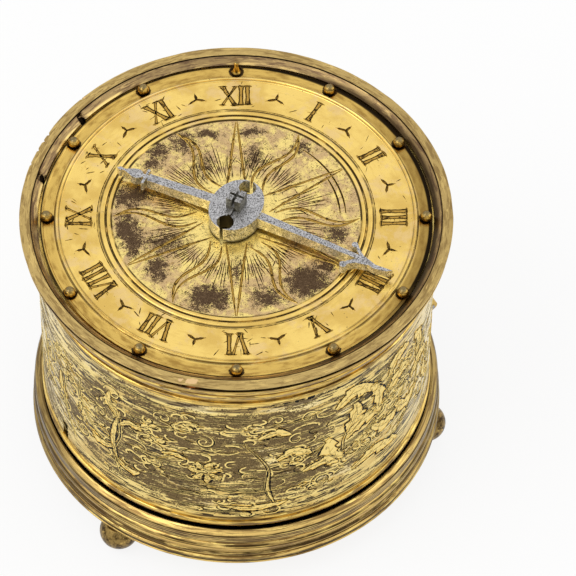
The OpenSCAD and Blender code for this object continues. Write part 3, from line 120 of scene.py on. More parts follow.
def make_world(soft_level=0.75):
    """A plain white studio: even soft light, and full white where a look goes past the floor."""
    world = bpy.data.worlds.new("studio")
    bpy.context.scene.world = world
    world.use_nodes = True
    sky = Nodes(world.node_tree)
    soft, white = [sky.node("Background", (1, 1, 1, 1), level) for level in (soft_level, 1.0)]
    sky.surface(sky.seen(), soft, white, "World Output")


def make_lamp(name, place, aim, side, power):
    """A square soft lamp that faces its aim."""
    data = bpy.data.lights.new(name, "AREA")
    data.size = side
    data.energy = power
    lamp = add_object(name, data)
    lamp.location = place
    lamp.rotation_euler = (Vector(aim) - Vector(place)).to_track_quat("-Z", "Y").to_euler()


def make_floor(half_side=1.5, white_share=0.85):
    """A pale floor that keeps the clock's shadow; it looks whiter than the soft light alone makes it."""
    mat = Shade("floor_paper")
    mat.set("Base Color", (0.93, 0.93, 0.93, 1))
    mat.set("Roughness", 0.9)
    white = mat.node("Emission")
    mat.surface(mat.times(mat.seen(), white_share), mat.shader, white, "Material Output")
    corners = [(x * half_side, y * half_side, 0) for x, y in ((-1, -1), (1, -1), (1, 1), (-1, 1))]
    floor = add_mesh("floor", corners, [(0, 1, 2, 3)], [mat.material])


# Materials

def rgb(red, green, blue):
    """A colour from screen values 0 to 255, as the linear values that a shader takes."""
    def linear(value):
        value = value / 255
        return value / 12.92 if value <= 0.04045 else ((value + 0.055) / 1.055) ** 2.4
    return (linear(red), linear(green), linear(blue), 1)


class Nodes:
    """A tree of shader nodes: short calls that add nodes and return them or their output socket."""

    def __init__(self, tree):
        self.tree = tree

    def plug(self, value, socket):
        if isinstance(value, bpy.types.NodeSocket):
            self.tree.links.new(value, socket)
        else:
            socket.default_value = value

    def node(self, kind, *inputs, at=None, **settings):
        """A node; its inputs are sockets or values, given in order or at their name or number."""
        node = self.tree.nodes.new("ShaderNode" + kind)
        for key, value in settings.items():
            setattr(node, key, value)
        for key, value in [*enumerate(inputs), *(at or {}).items()]:
            self.plug(value, node.inputs[key])
        return node

    def math(self, operation, a, b=0.0):
        return self.node("Math", a, b, operation=operation).outputs[0]

    def times(self, *values):
        return functools.reduce(lambda a, b: self.math("MULTIPLY", a, b), values)

    def plus(self, *values):
        return functools.reduce(lambda a, b: self.math("ADD", a, b), values)

    def seen(self):
        """1 for what the camera or a shiny or clear face looks at, 0 for the light that falls on things."""
        ray = self.node("LightPath").outputs
        seen = self.math("MAXIMUM", ray["Is Camera Ray"], ray["Is Glossy Ray"])
        return self.math("MAXIMUM", seen, ray["Is Transmission Ray"])

    def surface(self, factor, first, second, output):
        """Sends a mix of two shaders to the tree's output."""
        mix = self.node("MixShader", factor, first.outputs[0], second.outputs[0])
        self.plug(mix.outputs[0], self.tree.nodes[output].inputs["Surface"])


class Shade(Nodes):
    """One procedural material: its places in millimetres, its patterns, and base, the colour so far."""

    def __init__(self, name):
        self.material = bpy.data.materials.new(name)
        self.material.use_nodes = True
        super().__init__(self.material.node_tree)
        self.shader = self.tree.nodes["Principled BSDF"]
        texture = self.node("TexCoord").outputs
        self.place = self.vector("SCALE", texture["Object"], scale=1 / MM)
        self.x, self.y, self.z = self.split(self.place)
        self.r = self.vector("LENGTH", self.vector("MULTIPLY", self.place, (1, 1, 0)))
        round_from_front = self.math("ARCTAN2", self.x, self.math("MULTIPLY", self.y, -1.0))
        self.front = self.math("MULTIPLY", round_from_front, DRUM_R)
        self.up = self.split(texture["Normal"])[2]

    def set(self, name, value):
        self.plug(value, self.shader.inputs[name])

    def vector(self, operation, a, b=(0, 0, 0), scale=1.0):
        node = self.node("VectorMath", a, b, (0, 0, 0), scale, operation=operation)
        return node.outputs["Value" if operation == "LENGTH" else "Vector"]

    def split(self, vector):
        return self.node("SeparateXYZ", vector).outputs

    def join(self, x, y, z=0.0):
        return self.node("CombineXYZ", x, y, z).outputs[0]

    def noise(self, per_mm, detail=3.0, rough=0.55, place=None, w=None, warp=0.0):
        grain = {"Scale": per_mm, "Detail": detail, "Roughness": rough, "Distortion": warp}
        return self.node("TexNoise", place or self.place, w or 0.0, at=grain,
                         noise_dimensions="4D" if w else "3D").outputs["Fac"]

    def turned(self, per_mm, round_scale, detail=3.0, shift=0.0, warp=0.0):
        """Noise drawn out round the clock's axis, as a lathe or a polishing cloth leaves it."""
        level = self.vector("MULTIPLY", self.place, (1, 1, 0))
        x, y, _ = self.split(self.vector("SCALE", self.vector("NORMALIZE", level), scale=round_scale))
        return self.noise(per_mm, detail, 0.6, self.join(x, y, self.z), self.plus(self.r, shift), warp)

    def step(self, value, low, high):
        """0 below low, 1 above high, smooth between; low above high turns it round."""
        return self.node("MapRange", value, low, high, interpolation_type="SMOOTHSTEP").outputs[0]

    def swing(self, noise, reach):
        """A noise made to swing to both sides of zero."""
        return self.times(self.math("SUBTRACT", noise, 0.5), reach)

    def line_at(self, value, centre, half):
        """1 on a narrow line where the value passes the centre, fading to 0 at both its sides."""
        off = self.math("ABSOLUTE", self.math("SUBTRACT", value, centre))
        return self.step(off, half, half * 0.35)

    def spots(self, spots, u, v):
        """How deep a point lies inside the nearest of some ovals: centre, half sizes, how solid."""
        deepest = 0.0
        for x, y, half_w, half_h, solid in spots:
            off = self.join(self.math("DIVIDE", self.math("SUBTRACT", u, x), half_w),
                            self.math("DIVIDE", self.math("SUBTRACT", v, y), half_h))
            inside = self.math("SUBTRACT", 1.35, self.vector("LENGTH", off))
            deepest = self.math("MAXIMUM", deepest, self.math("MULTIPLY", inside, solid))
        return deepest

    def mix(self, factor, first, second):
        return self.node("Mix", at={0: factor, 6: first, 7: second}, data_type="RGBA").outputs[2]

    def over(self, base, tone, *factors):
        """The base with a tone laid over it, as strongly as all the factors multiplied."""
        return self.mix(self.times(*factors), base, tone)

    def lay(self, tone, *factors):
        """Lays a tone over the material's own colour."""
        self.base = self.over(self.base, tone, *factors)

    def bump(self, height, strength, reach_mm):
        reach = {"Height": height, "Strength": strength, "Distance": reach_mm * MM}
        self.set("Normal", self.node("Bump", at=reach).outputs[0])

    def metal(self, rough):
        self.set("Base Color", self.base)
        self.set("Metallic", 1.0)
        self.set("Roughness", rough)
        return self.material


GOLD = rgb(248, 214, 122)
GOLD_LIGHT = rgb(250, 224, 142)
GOLD_DEEP = rgb(224, 187, 100)
GOLD_PINK = rgb(234, 202, 144)
GOLD_DARK = rgb(150, 116, 54)
PATINA = rgb(98, 78, 52)
VIOLET = rgb(146, 124, 104)
CUT_DARK = rgb(58, 42, 22)
# Near black: painted shade in the gaps at the dial's edge and at the drum's foot
PAINTED_GAP_SHADE = rgb(30, 22, 12)
STEEL = rgb(200, 199, 200)
STEEL_DARK = rgb(72, 70, 70)
# Olive of the steel's sides: a painted reflection of the gilding
STEEL_OLIVE = rgb(228, 216, 172)

# Worn spots of the dial's centre: x, y, half width, half height, how solid
WORN = [
    (-8.7, 15.6, 2.1, 2.5, 0.8), (-4.8, 17.3, 2.1, 1.0, 0.9), (-12.8, 13.7, 2.1, 1.9, 0.8),
    (-17.1, 4.3, 3.1, 2.1, 1.1), (-17.8, -2.2, 1.8, 3.3, 1.1), (-16.6, -4.7, 1.5, 3.1, 1.1),
    (-12.7, -10.3, 1.6, 2.9, 0.9), (-4.4, -16.3, 3.4, 2.3, 1.2), (-2.0, -16.3, 1.3, 1.9, 0.8),
    (5.0, -16.1, 2.8, 1.7, 0.9), (11.3, -13.1, 3.4, 3.1, 1.2), (14.3, -9.9, 2.3, 1.2, 0.9),
    (0.1, -10.9, 0.8, 2.9, 0.6), (16.2, -3.2, 2.0, 2.3, 0.8), (2.4, 17.9, 2.0, 1.0, 0.8),
    (10.4, 14.5, 1.6, 1.2, 0.9), (3.0, 12.5, 1.8, 3.1, 0.6), (-5.3, 10.8, 1.6, 2.7, 0.7),
    (-13.6, 11.2, 1.8, 1.2, 0.8), (-11.5, -5.3, 4.1, 2.5, 0.6),
]
# Worn areas of the drum's front: millimetres round it from the middle, height, half sizes, how solid
WORN_WALL = [
    (-12, 37, 9, 4.5, 0.9), (-2, 31, 12, 6, 1.1), (8, 38, 9, 4.5, 1.1), (7, 26, 11, 5.5, 1.0),
    (-16, 29, 9, 6, 0.9), (-24, 38, 4, 4, 0.7), (11, 34, 6, 4, 0.9), (16, 22, 6, 3, 0.8),
    (-8, 21, 10, 2.5, 0.8), (30, 43, 6, 2, 0.6), (0, 43, 22, 1.6, 0.9), (-30, 27, 4, 6, 0.5),
]
# Pale scuffs of the rim, and spots of painted shade in its two inner nicks, as the spots above
SCUFFS = [(-7.1, -33.4, 1.5, 0.8, 1.15), (-8.8, -33.1, 0.8, 0.6, 0.8), (-25, 24.2, 0.5, 0.4, 0.8)]
NICK_SHADE = [(-25.4, 20.3, 0.8, 0.55, 1.0), (-31.6, 8.0, 0.5, 0.75, 1.0)]

# Dark rings between the dial's fields: radius, half width, how solid
DIAL_RINGS = (
    (CHAPTER_IN_R - 0.02, 0.24, 0.85), (CHAPTER_IN_R - 1.08, 0.28, 0.95), (CENTRE_R + 0.1, 0.24, 0.95),
    (CHANNEL_IN_R - 0.02, 0.24, 0.7), (CHANNEL_IN_R - 0.66, 0.16, 0.6),
)
# Dirty lines in the drum's mouldings: how far below its top or above its foot, half width, colour
TOP_LINES = (
    (0.35, 0.16, VIOLET), (0.75, 0.2, PATINA), (1.3, 0.2, VIOLET), (1.75, 0.16, PATINA), (2.5, 0.28, VIOLET),
    (3.6, 0.24, PATINA), (4.5, 0.24, PATINA), (5.85, 0.2, PATINA), (7.0, 0.72, PATINA),
)
FOOT_LINES = ((0.5, 0.16, VIOLET), (1.35, 0.24, PATINA), (2.2, 0.24, PATINA))
# Brown lines in the base's hollows: depth below its top, half width
BASE_LINES = (
    (0.8, 0.2), (1.7, 0.18), (2.6, 0.4), (3.35, 0.2), (4.9, 0.2), (5.55, 0.4), (6.2, 0.15), (6.8, 0.25),
    (7.3, 0.2), (1.25, 0.14), (2.1, 0.12), (3.7, 0.14), (4.5, 0.12),
)


def dial_gilding():
    """Gilding: pink clouds on the hour ring, rubbed to brown on the middle, dull in the channel."""
    mat = Shade("dial_gilding")
    aside = mat.math("DIVIDE", mat.x, mat.r)

    mat.base = mat.mix(mat.step(mat.noise(0.13, 4, 0.6), 0.42, 0.62), GOLD, GOLD_DEEP)
    pink = mat.step(mat.noise(0.3, 5, 0.65, warp=0.4), 0.5, 0.64)
    mat.lay(GOLD_PINK, pink, 0.6)
    mat.lay(GOLD_DEEP, mat.step(mat.turned(1.8, 6, 5), 0.5, 0.7), 0.55)

    # The middle: thin gold, then bare spots whose edges wander
    middle = mat.step(mat.r, CENTRE_R + 0.1, CENTRE_R - 0.1)
    thin = mat.step(mat.noise(0.3, 6, 0.75, warp=0.6), 0.4, 0.56)
    thin = mat.times(thin, mat.step(mat.r, 7.5, 10.5))
    rubbed = mat.mix(thin, rgb(250, 224, 138), rgb(210, 178, 128))
    rubbed = mat.over(rubbed, rgb(172, 138, 86), mat.step(mat.noise(1.1, 5, 0.8), 0.56, 0.64))
    mat.lay(rubbed, middle)
    wander = mat.node("TexNoise", mat.place, at={"Scale": 0.7, "Detail": 3})
    parts = mat.split(wander.outputs["Color"])
    moved = [mat.plus(place, mat.swing(part, 3.4)) for place, part in zip((mat.x, mat.y), parts)]
    speckle = mat.noise(6.5, 3, 0.85)
    crumbs = mat.plus(mat.times(speckle, 3.8), mat.times(mat.noise(0.9, 5, 0.75), 2.4))
    bare = mat.times(mat.step(mat.plus(mat.spots(WORN, *moved), crumbs), 3.44, 3.5), middle)
    brown = mat.mix(mat.step(speckle, 0.4, 0.56), rgb(112, 90, 68), rgb(74, 57, 40))
    mat.lay(brown, bare)
    mat.lay(PATINA, mat.step(mat.noise(2.6, 2, 0.4), 0.72, 0.77), 0.8)

    # The channel, with painted shade on the right, and the rings
    dull = mat.step(mat.turned(1.2, 9, 5), 0.4, 0.66)
    streaks = mat.mix(dull, rgb(220, 184, 98), rgb(170, 134, 66))
    streaks = mat.over(streaks, rgb(128, 100, 50), mat.step(aside, 0.55, 0.95), 0.6)
    mat.lay(streaks, mat.step(mat.r, CHANNEL_IN_R - 0.1, CHANNEL_IN_R + 0.5))
    broken = mat.step(mat.turned(0.7, 9, 4), 0.3, 0.52)
    for radius, half, solid in DIAL_RINGS:
        mat.lay(CUT_DARK, mat.line_at(mat.r, radius, half), broken, solid)

    # Painted shade of the gap at the dial's edge: narrow on the left, wide on the right, none at the front
    inwards = mat.plus(mat.r, mat.times(mat.step(aside, -0.2, 0.5), 0.4))
    behind = mat.step(mat.math("DIVIDE", mat.y, mat.r), -0.75, -0.4)
    mat.lay(PAINTED_GAP_SHADE, mat.step(inwards, DIAL_R - 0.35, DIAL_R - 0.1), behind)

    # A dark ring round the foot of each stud, one at each hour
    fold = mat.math("PINGPONG", mat.math("ARCTAN2", mat.x, mat.y), math.radians(HALF_HOUR))
    across = mat.times(mat.math("SINE", fold), mat.r)
    outwards = mat.math("SUBTRACT", mat.times(mat.math("COSINE", fold), mat.r), STUD_RING_R)
    from_stud = mat.vector("LENGTH", mat.join(across, outwards))
    dark_ring_reach = mat.plus(0.95, mat.times(mat.noise(1.4, 4, 0.7), 0.75))
    mat.lay(CUT_DARK, mat.step(mat.math("SUBTRACT", dark_ring_reach, from_stud), 0.0, 0.16))
    mat.bump(mat.noise(5.0, 4, 0.6), 0.3, 0.02)
    return mat.metal(mat.plus(0.27, mat.times(bare, 0.25)))


def streaked(mat, light, dark, bright, per_mm, round_scale):
    """Metal drawn out in long fine streaks round the axis."""
    tone = mat.mix(mat.step(mat.turned(per_mm, round_scale, 6, warp=0.5), 0.4, 0.56), dark, light)
    rubs = mat.turned(per_mm * 1.7, round_scale * 0.8, 4, 20.0, 0.5)
    tone = mat.over(tone, bright, mat.step(rubs, 0.54, 0.64))
    return mat.over(tone, dark, mat.step(mat.noise(2.6, 4, 0.7), 0.6, 0.68), 0.75)


def old_gilding():
    """The drum's gilding: rubbed to speckled brown in level patches, cut over with fine level lines."""
    mat = Shade("old_gilding")

    # Where the gold is gone: least on the right of the front
    long_patch = mat.turned(0.3, 9, 5, warp=0.9)
    ragged = mat.turned(1.3, 9, 5, warp=0.8)
    crumbs = mat.noise(3.4, 3, 0.8)
    worn = mat.times(mat.spots(WORN_WALL, mat.front, mat.z), 0.2)
    level = mat.plus(long_patch, mat.swing(ragged, 0.7), mat.swing(crumbs, 0.6), worn)
    kept = mat.times(mat.step(mat.front, 12, 19), mat.step(mat.front, 62, 50))
    bare = mat.step(mat.math("SUBTRACT", level, mat.times(kept, 0.07)), 0.55, 0.565)

    # What gold is left: cream patches, paler towards both sides as a painted sheen, under dark level lines
    hatched = mat.step(mat.turned(0.45, 7, 3, 9.0), 0.44, 0.5)
    hatch = mat.times(mat.step(mat.turned(2.0, 3.6, 1, warp=0.6), 0.475, 0.455), hatched)
    gold = mat.mix(mat.step(mat.turned(0.7, 9, 5), 0.42, 0.6), GOLD_LIGHT, rgb(224, 192, 112))
    cream = mat.times(mat.step(mat.turned(0.35, 9, 5, 40.0), 0.54, 0.62), 0.5)
    sideways = mat.math("ABSOLUTE", mat.front)
    pale = mat.times(mat.step(sideways, 28, 44), mat.step(sideways, 64, 50))
    gold = mat.over(gold, rgb(248, 232, 184), mat.math("MAXIMUM", cream, mat.times(pale, 0.8)))
    cover = mat.math("SUBTRACT", 1.0, mat.times(pale, 0.3))
    gold = mat.over(gold, rgb(54, 43, 22), hatch, cover)

    speckle = mat.noise(6.5, 3, 0.85)
    brown = mat.mix(mat.step(speckle, 0.44, 0.56), rgb(82, 66, 40), rgb(144, 121, 78))
    brown = mat.over(brown, rgb(230, 204, 130), mat.step(mat.turned(3.0, 7, 3, 23.0), 0.6, 0.63))
    wall = mat.mix(bare, gold, brown)

    moulded = streaked(mat, rgb(226, 190, 100), rgb(126, 102, 64), rgb(255, 228, 136), 1.9, 3)
    frieze = mat.times(mat.step(mat.z, DRUM_LOW + 2.0, DRUM_LOW + 2.5),
                       mat.step(mat.z, DRUM_HIGH - 5.8, DRUM_HIGH - 6.2))
    mat.base = mat.mix(frieze, moulded, wall)
    broken = mat.step(mat.turned(0.8, 7, 5), 0.42, 0.56)
    for start, way, lines in ((DRUM_HIGH, -1, TOP_LINES), (DRUM_LOW, 1, FOOT_LINES)):
        for off, half, tone in lines:
            mat.lay(tone, mat.line_at(mat.z, start + way * off, half), broken, 0.8)
    # Painted shade of the gap between the drum's foot and the base
    mat.lay(PAINTED_GAP_SHADE, mat.step(mat.z, DRUM_LOW + 0.25, DRUM_LOW + 0.1))
    mat.bump(hatch, 0.35, 0.03)
    return mat.metal(mat.plus(0.34, mat.times(bare, frieze, 0.2)))


def rim_metal():
    """The rim: khaki brass on its flat, a dark groove, brown brass on the slope inside, gold below; painted
    light and shade at the bore, painted shade under the outer lip and in the nicks.
    """
    mat = Shade("rim_brass")
    aside = mat.math("DIVIDE", mat.x, mat.r)
    flat = streaked(mat, rgb(196, 168, 106), rgb(154, 127, 78), rgb(218, 188, 118), 2.1, 5)
    slope = streaked(mat, rgb(162, 136, 92), rgb(116, 92, 68), rgb(196, 166, 110), 1.7, 6)
    mat.base = mat.mix(mat.step(mat.r, RIM_FLAT_R, RIM_FLAT_R - 0.14), flat, slope)
    mat.lay(rgb(62, 46, 30), mat.line_at(mat.r, RIM_FLAT_R - 0.08, 0.16))

    # The edge of the bore: a painted highlight on the left, painted shade on the right, and the whole rim a
    # little darker on the right as painted shade
    lip = mat.times(mat.step(mat.r, RIM_BORE_R + 0.45, RIM_BORE_R + 0.15),
                    mat.step(mat.turned(0.5, 8, 3), 0.45, 0.6))
    mat.lay(rgb(240, 208, 132), lip, mat.step(aside, 0.4, 0.1))
    bore_shade = mat.times(mat.step(mat.r, RIM_BORE_R + 0.9, RIM_BORE_R + 0.2),
                       mat.step(aside, 0.1, 0.6))
    mat.lay(rgb(40, 30, 18), bore_shade, 0.9)
    mat.lay(rgb(92, 70, 44), mat.step(aside, 0.5, 0.9), 0.12)

    under = streaked(mat, rgb(206, 170, 92), rgb(132, 108, 76), rgb(240, 206, 122), 2.0, 3)
    outside = mat.step(mat.r, RIM_FLAT_R - 0.1, RIM_FLAT_R + 0.1)
    mat.lay(under, outside, mat.step(mat.z, RIM_TOP - 0.3, RIM_TOP - 0.4))
    # Painted shade in the groove under the outer lip
    mat.lay(rgb(26, 19, 11), outside, mat.line_at(mat.z, RIM_TOP - 0.78, 0.55))

    scuff = mat.plus(mat.spots(SCUFFS, mat.x, mat.y), mat.times(mat.noise(1.6, 4, 0.7), 1.6))
    mat.lay(rgb(230, 194, 140), mat.step(scuff, 1.5, 1.62))
    # Painted shade, near black, in the two nicks of the bore's edge
    chips = mat.plus(mat.spots(NICK_SHADE, mat.x, mat.y), mat.times(mat.noise(2.0, 3), 0.5))
    mat.lay(rgb(20, 14, 8), mat.step(chips, 0.65, 0.75))
    mat.bump(mat.noise(4.0, 4), 0.25, 0.03)
    return mat.metal(0.36)


def base_metal():
    """The base: gold streaks between brown ones, darkest in the hollows, darker towards both sides and on
    the left, with painted shade under the drum.
    """
    mat = Shade("base_brass")
    mat.base = streaked(mat, rgb(222, 188, 112), rgb(136, 108, 64), rgb(255, 226, 134), 2.0, 2.6)
    bead = mat.line_at(mat.z, BASE_TOP - 4.15, 0.9)
    mat.lay(rgb(214, 176, 94), bead, mat.step(mat.turned(1.2, 4, 4, 60.0), 0.62, 0.4), 0.8)
    broken = mat.step(mat.turned(0.6, 8, 4), 0.3, 0.5)
    for depth, half in BASE_LINES:
        mat.lay(rgb(54, 39, 20), mat.line_at(mat.z, BASE_TOP - depth, half), broken, 0.95)
    outer = mat.step(mat.math("ABSOLUTE", mat.front), 22, 44)
    mat.lay(rgb(96, 80, 52), outer, 0.5)
    # Darker on the left of the front
    left_darkening = mat.times(mat.step(mat.turned(1.0, 3, 3), 0.36, 0.6), mat.step(mat.front, -12, -26))
    mat.lay(rgb(84, 66, 42), left_darkening, 0.55)
    # Painted shade under the drum's foot
    painted_shade_under_drum = mat.times(mat.step(mat.r, DRUM_R + 0.5, DRUM_R + 0.3),
                           mat.step(mat.z, BASE_TOP - 0.6, BASE_TOP - 0.3))
    mat.lay(rgb(16, 12, 7), painted_shade_under_drum)
    mat.bump(mat.turned(2.4, 5, 4), 0.35, 0.04)
    return mat.metal(0.36)


def aged_brass(name, light, dark, bright):
    """Dull brass with soft dark blotches and rubbed lights."""
    mat = Shade(name)
    mat.base = mat.mix(mat.step(mat.noise(0.9, 5, 0.65), 0.38, 0.6), dark, light)
    mat.lay(bright, mat.step(mat.noise(1.6, 4, 0.6), 0.56, 0.7))
    mat.bump(mat.noise(4.0, 4), 0.3, 0.03)
    return mat.metal(0.36)


def stud_metal():
    """The studs: dull grey on the worn top, gold on the sides, dark where they meet the dial."""
    mat = Shade("stud_brass")
    mat.base = mat.mix(mat.step(mat.noise(1.8, 4), 0.4, 0.6), rgb(206, 166, 76), rgb(120, 94, 44))
    mat.lay(rgb(126, 112, 78), mat.step(mat.up, 0.66, 0.88), 0.85)
    mat.lay(rgb(66, 48, 24), mat.step(mat.z, DIAL_TOP + 0.1, DIAL_TOP - 0.15))
    return mat.metal(0.26)


def granular_steel(name, light=STEEL, dark=STEEL_DARK, side=STEEL_OLIVE, bright_side=rgb(255, 246, 214)):
    """Old steel with a fine dark grain on its worn top; its sides are a painted reflection of the gilding,
    olive with paler painted highlights, with painted shade in the boss's holes and along the lower edge.
    """
    mat = Shade(name)
    grain = mat.noise(4.2, 4, 0.9)
    mat.base = mat.mix(mat.step(grain, 0.44, 0.53), dark, light)
    mat.lay(light, mat.step(mat.noise(0.5, 4), 0.5, 0.68), 0.35)
    # The sides: olive and cream, a painted reflection of the gilding with painted highlights
    flank = mat.mix(mat.step(mat.noise(1.0, 4), 0.46, 0.62), side, bright_side)
    flank = mat.over(flank, rgb(66, 58, 34), mat.step(grain, 0.52, 0.42))
    # Painted shade inside the boss's holes
    flank = mat.over(flank, rgb(44, 36, 22),
                     mat.step(mat.r, BOSS_HOLES_OUT_R, BOSS_HOLES_OUT_R - 0.15),
                     mat.step(mat.r, BOSS_HOLES_IN_R, BOSS_HOLES_IN_R + 0.2))
    top = mat.step(mat.up, 0.55, 0.8)
    mat.base = mat.mix(top, flank, mat.base)
    # Painted shade along the hand's lower edge, where it stands over the dial
    under = mat.step(mat.z, HAND_LOW + 0.65, HAND_LOW + 0.15)
    mat.lay(rgb(52, 44, 28), under, 0.85)
    mat.bump(grain, 0.4, 0.03)
    mat.metal(0.4)
    mat.set("Metallic", mat.plus(0.6, mat.times(top, 0.4)))
    return mat.material


def plain_metal(name, tone, rough=0.35):
    """Worked metal of the movement: an even colour with a faint grain."""
    mat = Shade(name)
    darker = tuple(c * 0.7 for c in tone[:3]) + (1,)
    mat.base = mat.mix(mat.step(mat.noise(1.5, 4), 0.4, 0.7), tone, darker)
    mat.bump(mat.noise(6.0, 3), 0.2, 0.02)
    return mat.metal(rough)


def twisted_gut(name):
    """Gut: brown and yellow, not metallic."""
    mat = Shade(name)
    mat.set("Base Color", mat.mix(mat.noise(2.5, 3), rgb(196, 160, 100), rgb(150, 112, 62)))
    mat.set("Roughness", 0.5)
    mat.bump(mat.noise(6.0, 2), 0.4, 0.05)
    return mat.material


def cut_material(name, tone, speck, amount=0.5, per_mm=3.0):
    """A face of an engraved line: gold, or dark with grime and painted shade in the cut, broken up by specks
    of the other.
    """
    mat = Shade(name)
    broken = mat.step(mat.noise(per_mm, 4, 0.7), amount, amount + 0.12)
    mat.base = mat.mix(broken, tone, speck)
    return mat.metal(0.5)


# Engraving

LINE_STEP = 0.35
LEAF_STEP = 0.3
VEIN_GAP = 4
BROAD_LINE = 0.35
FLOOR_SHARE, FLOOR_RISE = 0.52, 0.4
# The material slot of each lane across a cut: lip, wall, floor, wall, lip; a fine cut has its walls' floor
BROAD_LANES = (0, 1, 2, 1, 0)
FINE_LANES = (0, 1, 1, 1, 0)
LEAF_LANES = (3, 3, 3, 3)


class Engraving:
    """Cut lines laid on a surface as narrow channels with raised lips, all in one mesh."""

    def __init__(self, name, surface, materials, seed):
        self.name, self.surface, self.materials = name, surface, materials
        self.points, self.faces, self.kinds = [], [], []
        self.random = random.Random(seed)

    def strip(self, rows, lanes):
        """Faces between neighbouring rows of points, with the material slot of each lane."""
        start, width = len(self.points), len(lanes) + 1
        for row in rows:
            self.points += row
        for i in range(len(rows) - 1):
            for k, kind in enumerate(lanes):
                a = start + i * width + k
                self.faces.append((a, a + 1, a + width + 1, a + width))
                self.kinds.append(kind)

    def row(self, x, y, side, offsets):
        """Points of the surface beside one point of a path: how far to its side, how high."""
        return [self.surface(x + side[0] * off, y + side[1] * off, height) for off, height in offsets]

    def line(self, path, width, lip=0.05, deep=0.03, ends=(0.0, 0.0), jitter=0.12, far_lip=None, flare=0.0):
        """A channel along the path; ends are its widths at both ends as a share of the middle's."""
        far_lip = lip if far_lip is None else far_lip
        rows = []
        for x, y, side, t in sides_along(resample(path, LINE_STEP)):
            swell = min(1, ends[0] + 4 * t * (1 - ends[0]), ends[1] + 4 * (1 - t) * (1 - ends[1]))
            uneven = 1 + jitter * self.random.uniform(-1, 1) + flare * abs(2 * t - 1) ** 3
            half = width / 2 * swell * uneven
            floor, floor_height = FLOOR_SHARE * half, FLOOR_RISE * deep
            rows.append(self.row(x, y, side, [
                (-half - lip, 0.0), (-half, deep), (-floor, floor_height),
                (floor, floor_height), (half, deep), (half + far_lip, 0.0)]))
        self.strip(rows, BROAD_LANES if width > BROAD_LINE else FINE_LANES)

    def leaf(self, points, width, lobes=3, lift=0.035):
        """A leaf along a curve: a raised field with a lobed edge, then its outline, rib and veins."""
        path = resample(smooth(points), LEAF_STEP)
        last = len(path) - 1
        phase = self.random.uniform(0, 2)
        edges = ([], [])
        rows = []
        for x, y, side, t in sides_along(path):
            body = width / 2 * math.sin(math.pi * min(1, 0.06 + 0.94 * t) ** 1.2) ** 0.6
            right, left = [body * (0.72 + 0.62 * (1 - ((lobes * t + phase + turn) % 1)) ** 1.3)
                           for turn in (0, 0.4)]
            rows.append(self.row(x, y, side, [(-right, 0.0), (-0.5 * right, lift), (0.0, 0.6 * lift),
                                              (0.5 * left, lift), (left, 0.0)]))
            for edge, reach in zip(edges, (-right, left)):
                edge.append((x + side[0] * reach, y + side[1] * reach))
        self.strip(rows, LEAF_LANES)
        for edge in edges:
            self.line(edge, 0.32, lip=0.0, deep=0.06, ends=(0.6, 0.3), jitter=0.6)
        rib = path[:max(3, int((last + 1) * 0.7))]
        self.line(rib, 0.2, lip=0.04, deep=0.05, ends=(0.8, 0.1), jitter=0.3)
        for i in range(VEIN_GAP, last + 1 - VEIN_GAP, VEIN_GAP):
            outer = edges[i // VEIN_GAP % 2][min(last, i + 3)]
            tip = tuple(0.35 * a + 0.65 * b for a, b in zip(path[min(last, i + 2)], outer))
            self.line([path[i], tip], 0.22, lip=0.0, deep=0.05, ends=(0.8, 0.2), jitter=0.3)

    def curl(self, x, y, radius, start, turns, hand=1, width=0.24):
        """A spiral that tightens towards its middle."""
        count = max(8, round(18 * turns))
        path = []
        for k in range(count + 1):
            t = k / count
            angle = math.radians(start) + hand * 2 * math.pi * turns * t
            reach = radius * (1 - 0.8 * t)
            path.append((x + reach * math.cos(angle), y + reach * math.sin(angle)))
        self.line(path, width, lip=0.22, far_lip=0.03, deep=0.05, ends=(0.3, 0.2), jitter=0.3)

    def build(self, body):
        points = [tuple(c * MM for c in p) for p in self.points]
        piece = add_mesh(self.name, points, self.faces, self.materials)
        piece.data.polygons.foreach_set("material_index", self.kinds)
        piece.data.update()
        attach(piece, body)
        return piece


def sides_along(path):
    """Each point of a path, with its sideways direction and its share of the way."""
    last = len(path) - 1
    for i, (x, y) in enumerate(path):
        ahead, behind = path[min(i + 1, last)], path[max(i - 1, 0)]
        run_x, run_y = ahead[0] - behind[0], ahead[1] - behind[1]
        length = math.hypot(run_x, run_y) or 1
        yield x, y, (-run_y / length, run_x / length), i / last


def resample(path, step):
    """The same path with a point every step or so."""
    out = [path[0]]
    for (x0, y0), (x1, y1) in zip(path, path[1:]):
        pieces = max(1, round(math.hypot(x1 - x0, y1 - y0) / step))
        out += [(x0 + (x1 - x0) * k / pieces, y0 + (y1 - y0) * k / pieces) for k in range(1, pieces + 1)]
    return out


def smooth(points, pieces=8):
    """A smooth curve through the points."""
    ends = [points[0]] + list(points) + [points[-1]]
    out = [points[0]]
    for a, b, c, d in zip(ends, ends[1:], ends[2:], ends[3:]):
        for k in range(1, pieces + 1):
            t = k / pieces
            out.append(tuple(0.5 * (2 * q + (r - p) * t + (2 * p - 5 * q + 4 * r - e) * t * t
                                    + (3 * q - p - 3 * r + e) * t ** 3)
                             for p, q, r, e in zip(a, b, c, d)))
    return out


def on_wall(along, height, lift):
    """A point of the drum's wall: millimetres round it from the middle of its front, and height."""
    angle = along / DRUM_R - math.pi / 2
    reach = DRUM_R + SKIN + lift
    return (reach * math.cos(angle), reach * math.sin(angle), height)


def on_dial(x, y, height):
    """A point of the dial's middle or of its hour ring."""
    return (x, y, (CENTRE_TOP if math.hypot(x, y) < CENTRE_R else DIAL_TOP) + SKIN + height)


def polar(radius, degrees):
    angle = math.radians(degrees)
    return (radius * math.cos(angle), radius * math.sin(angle))


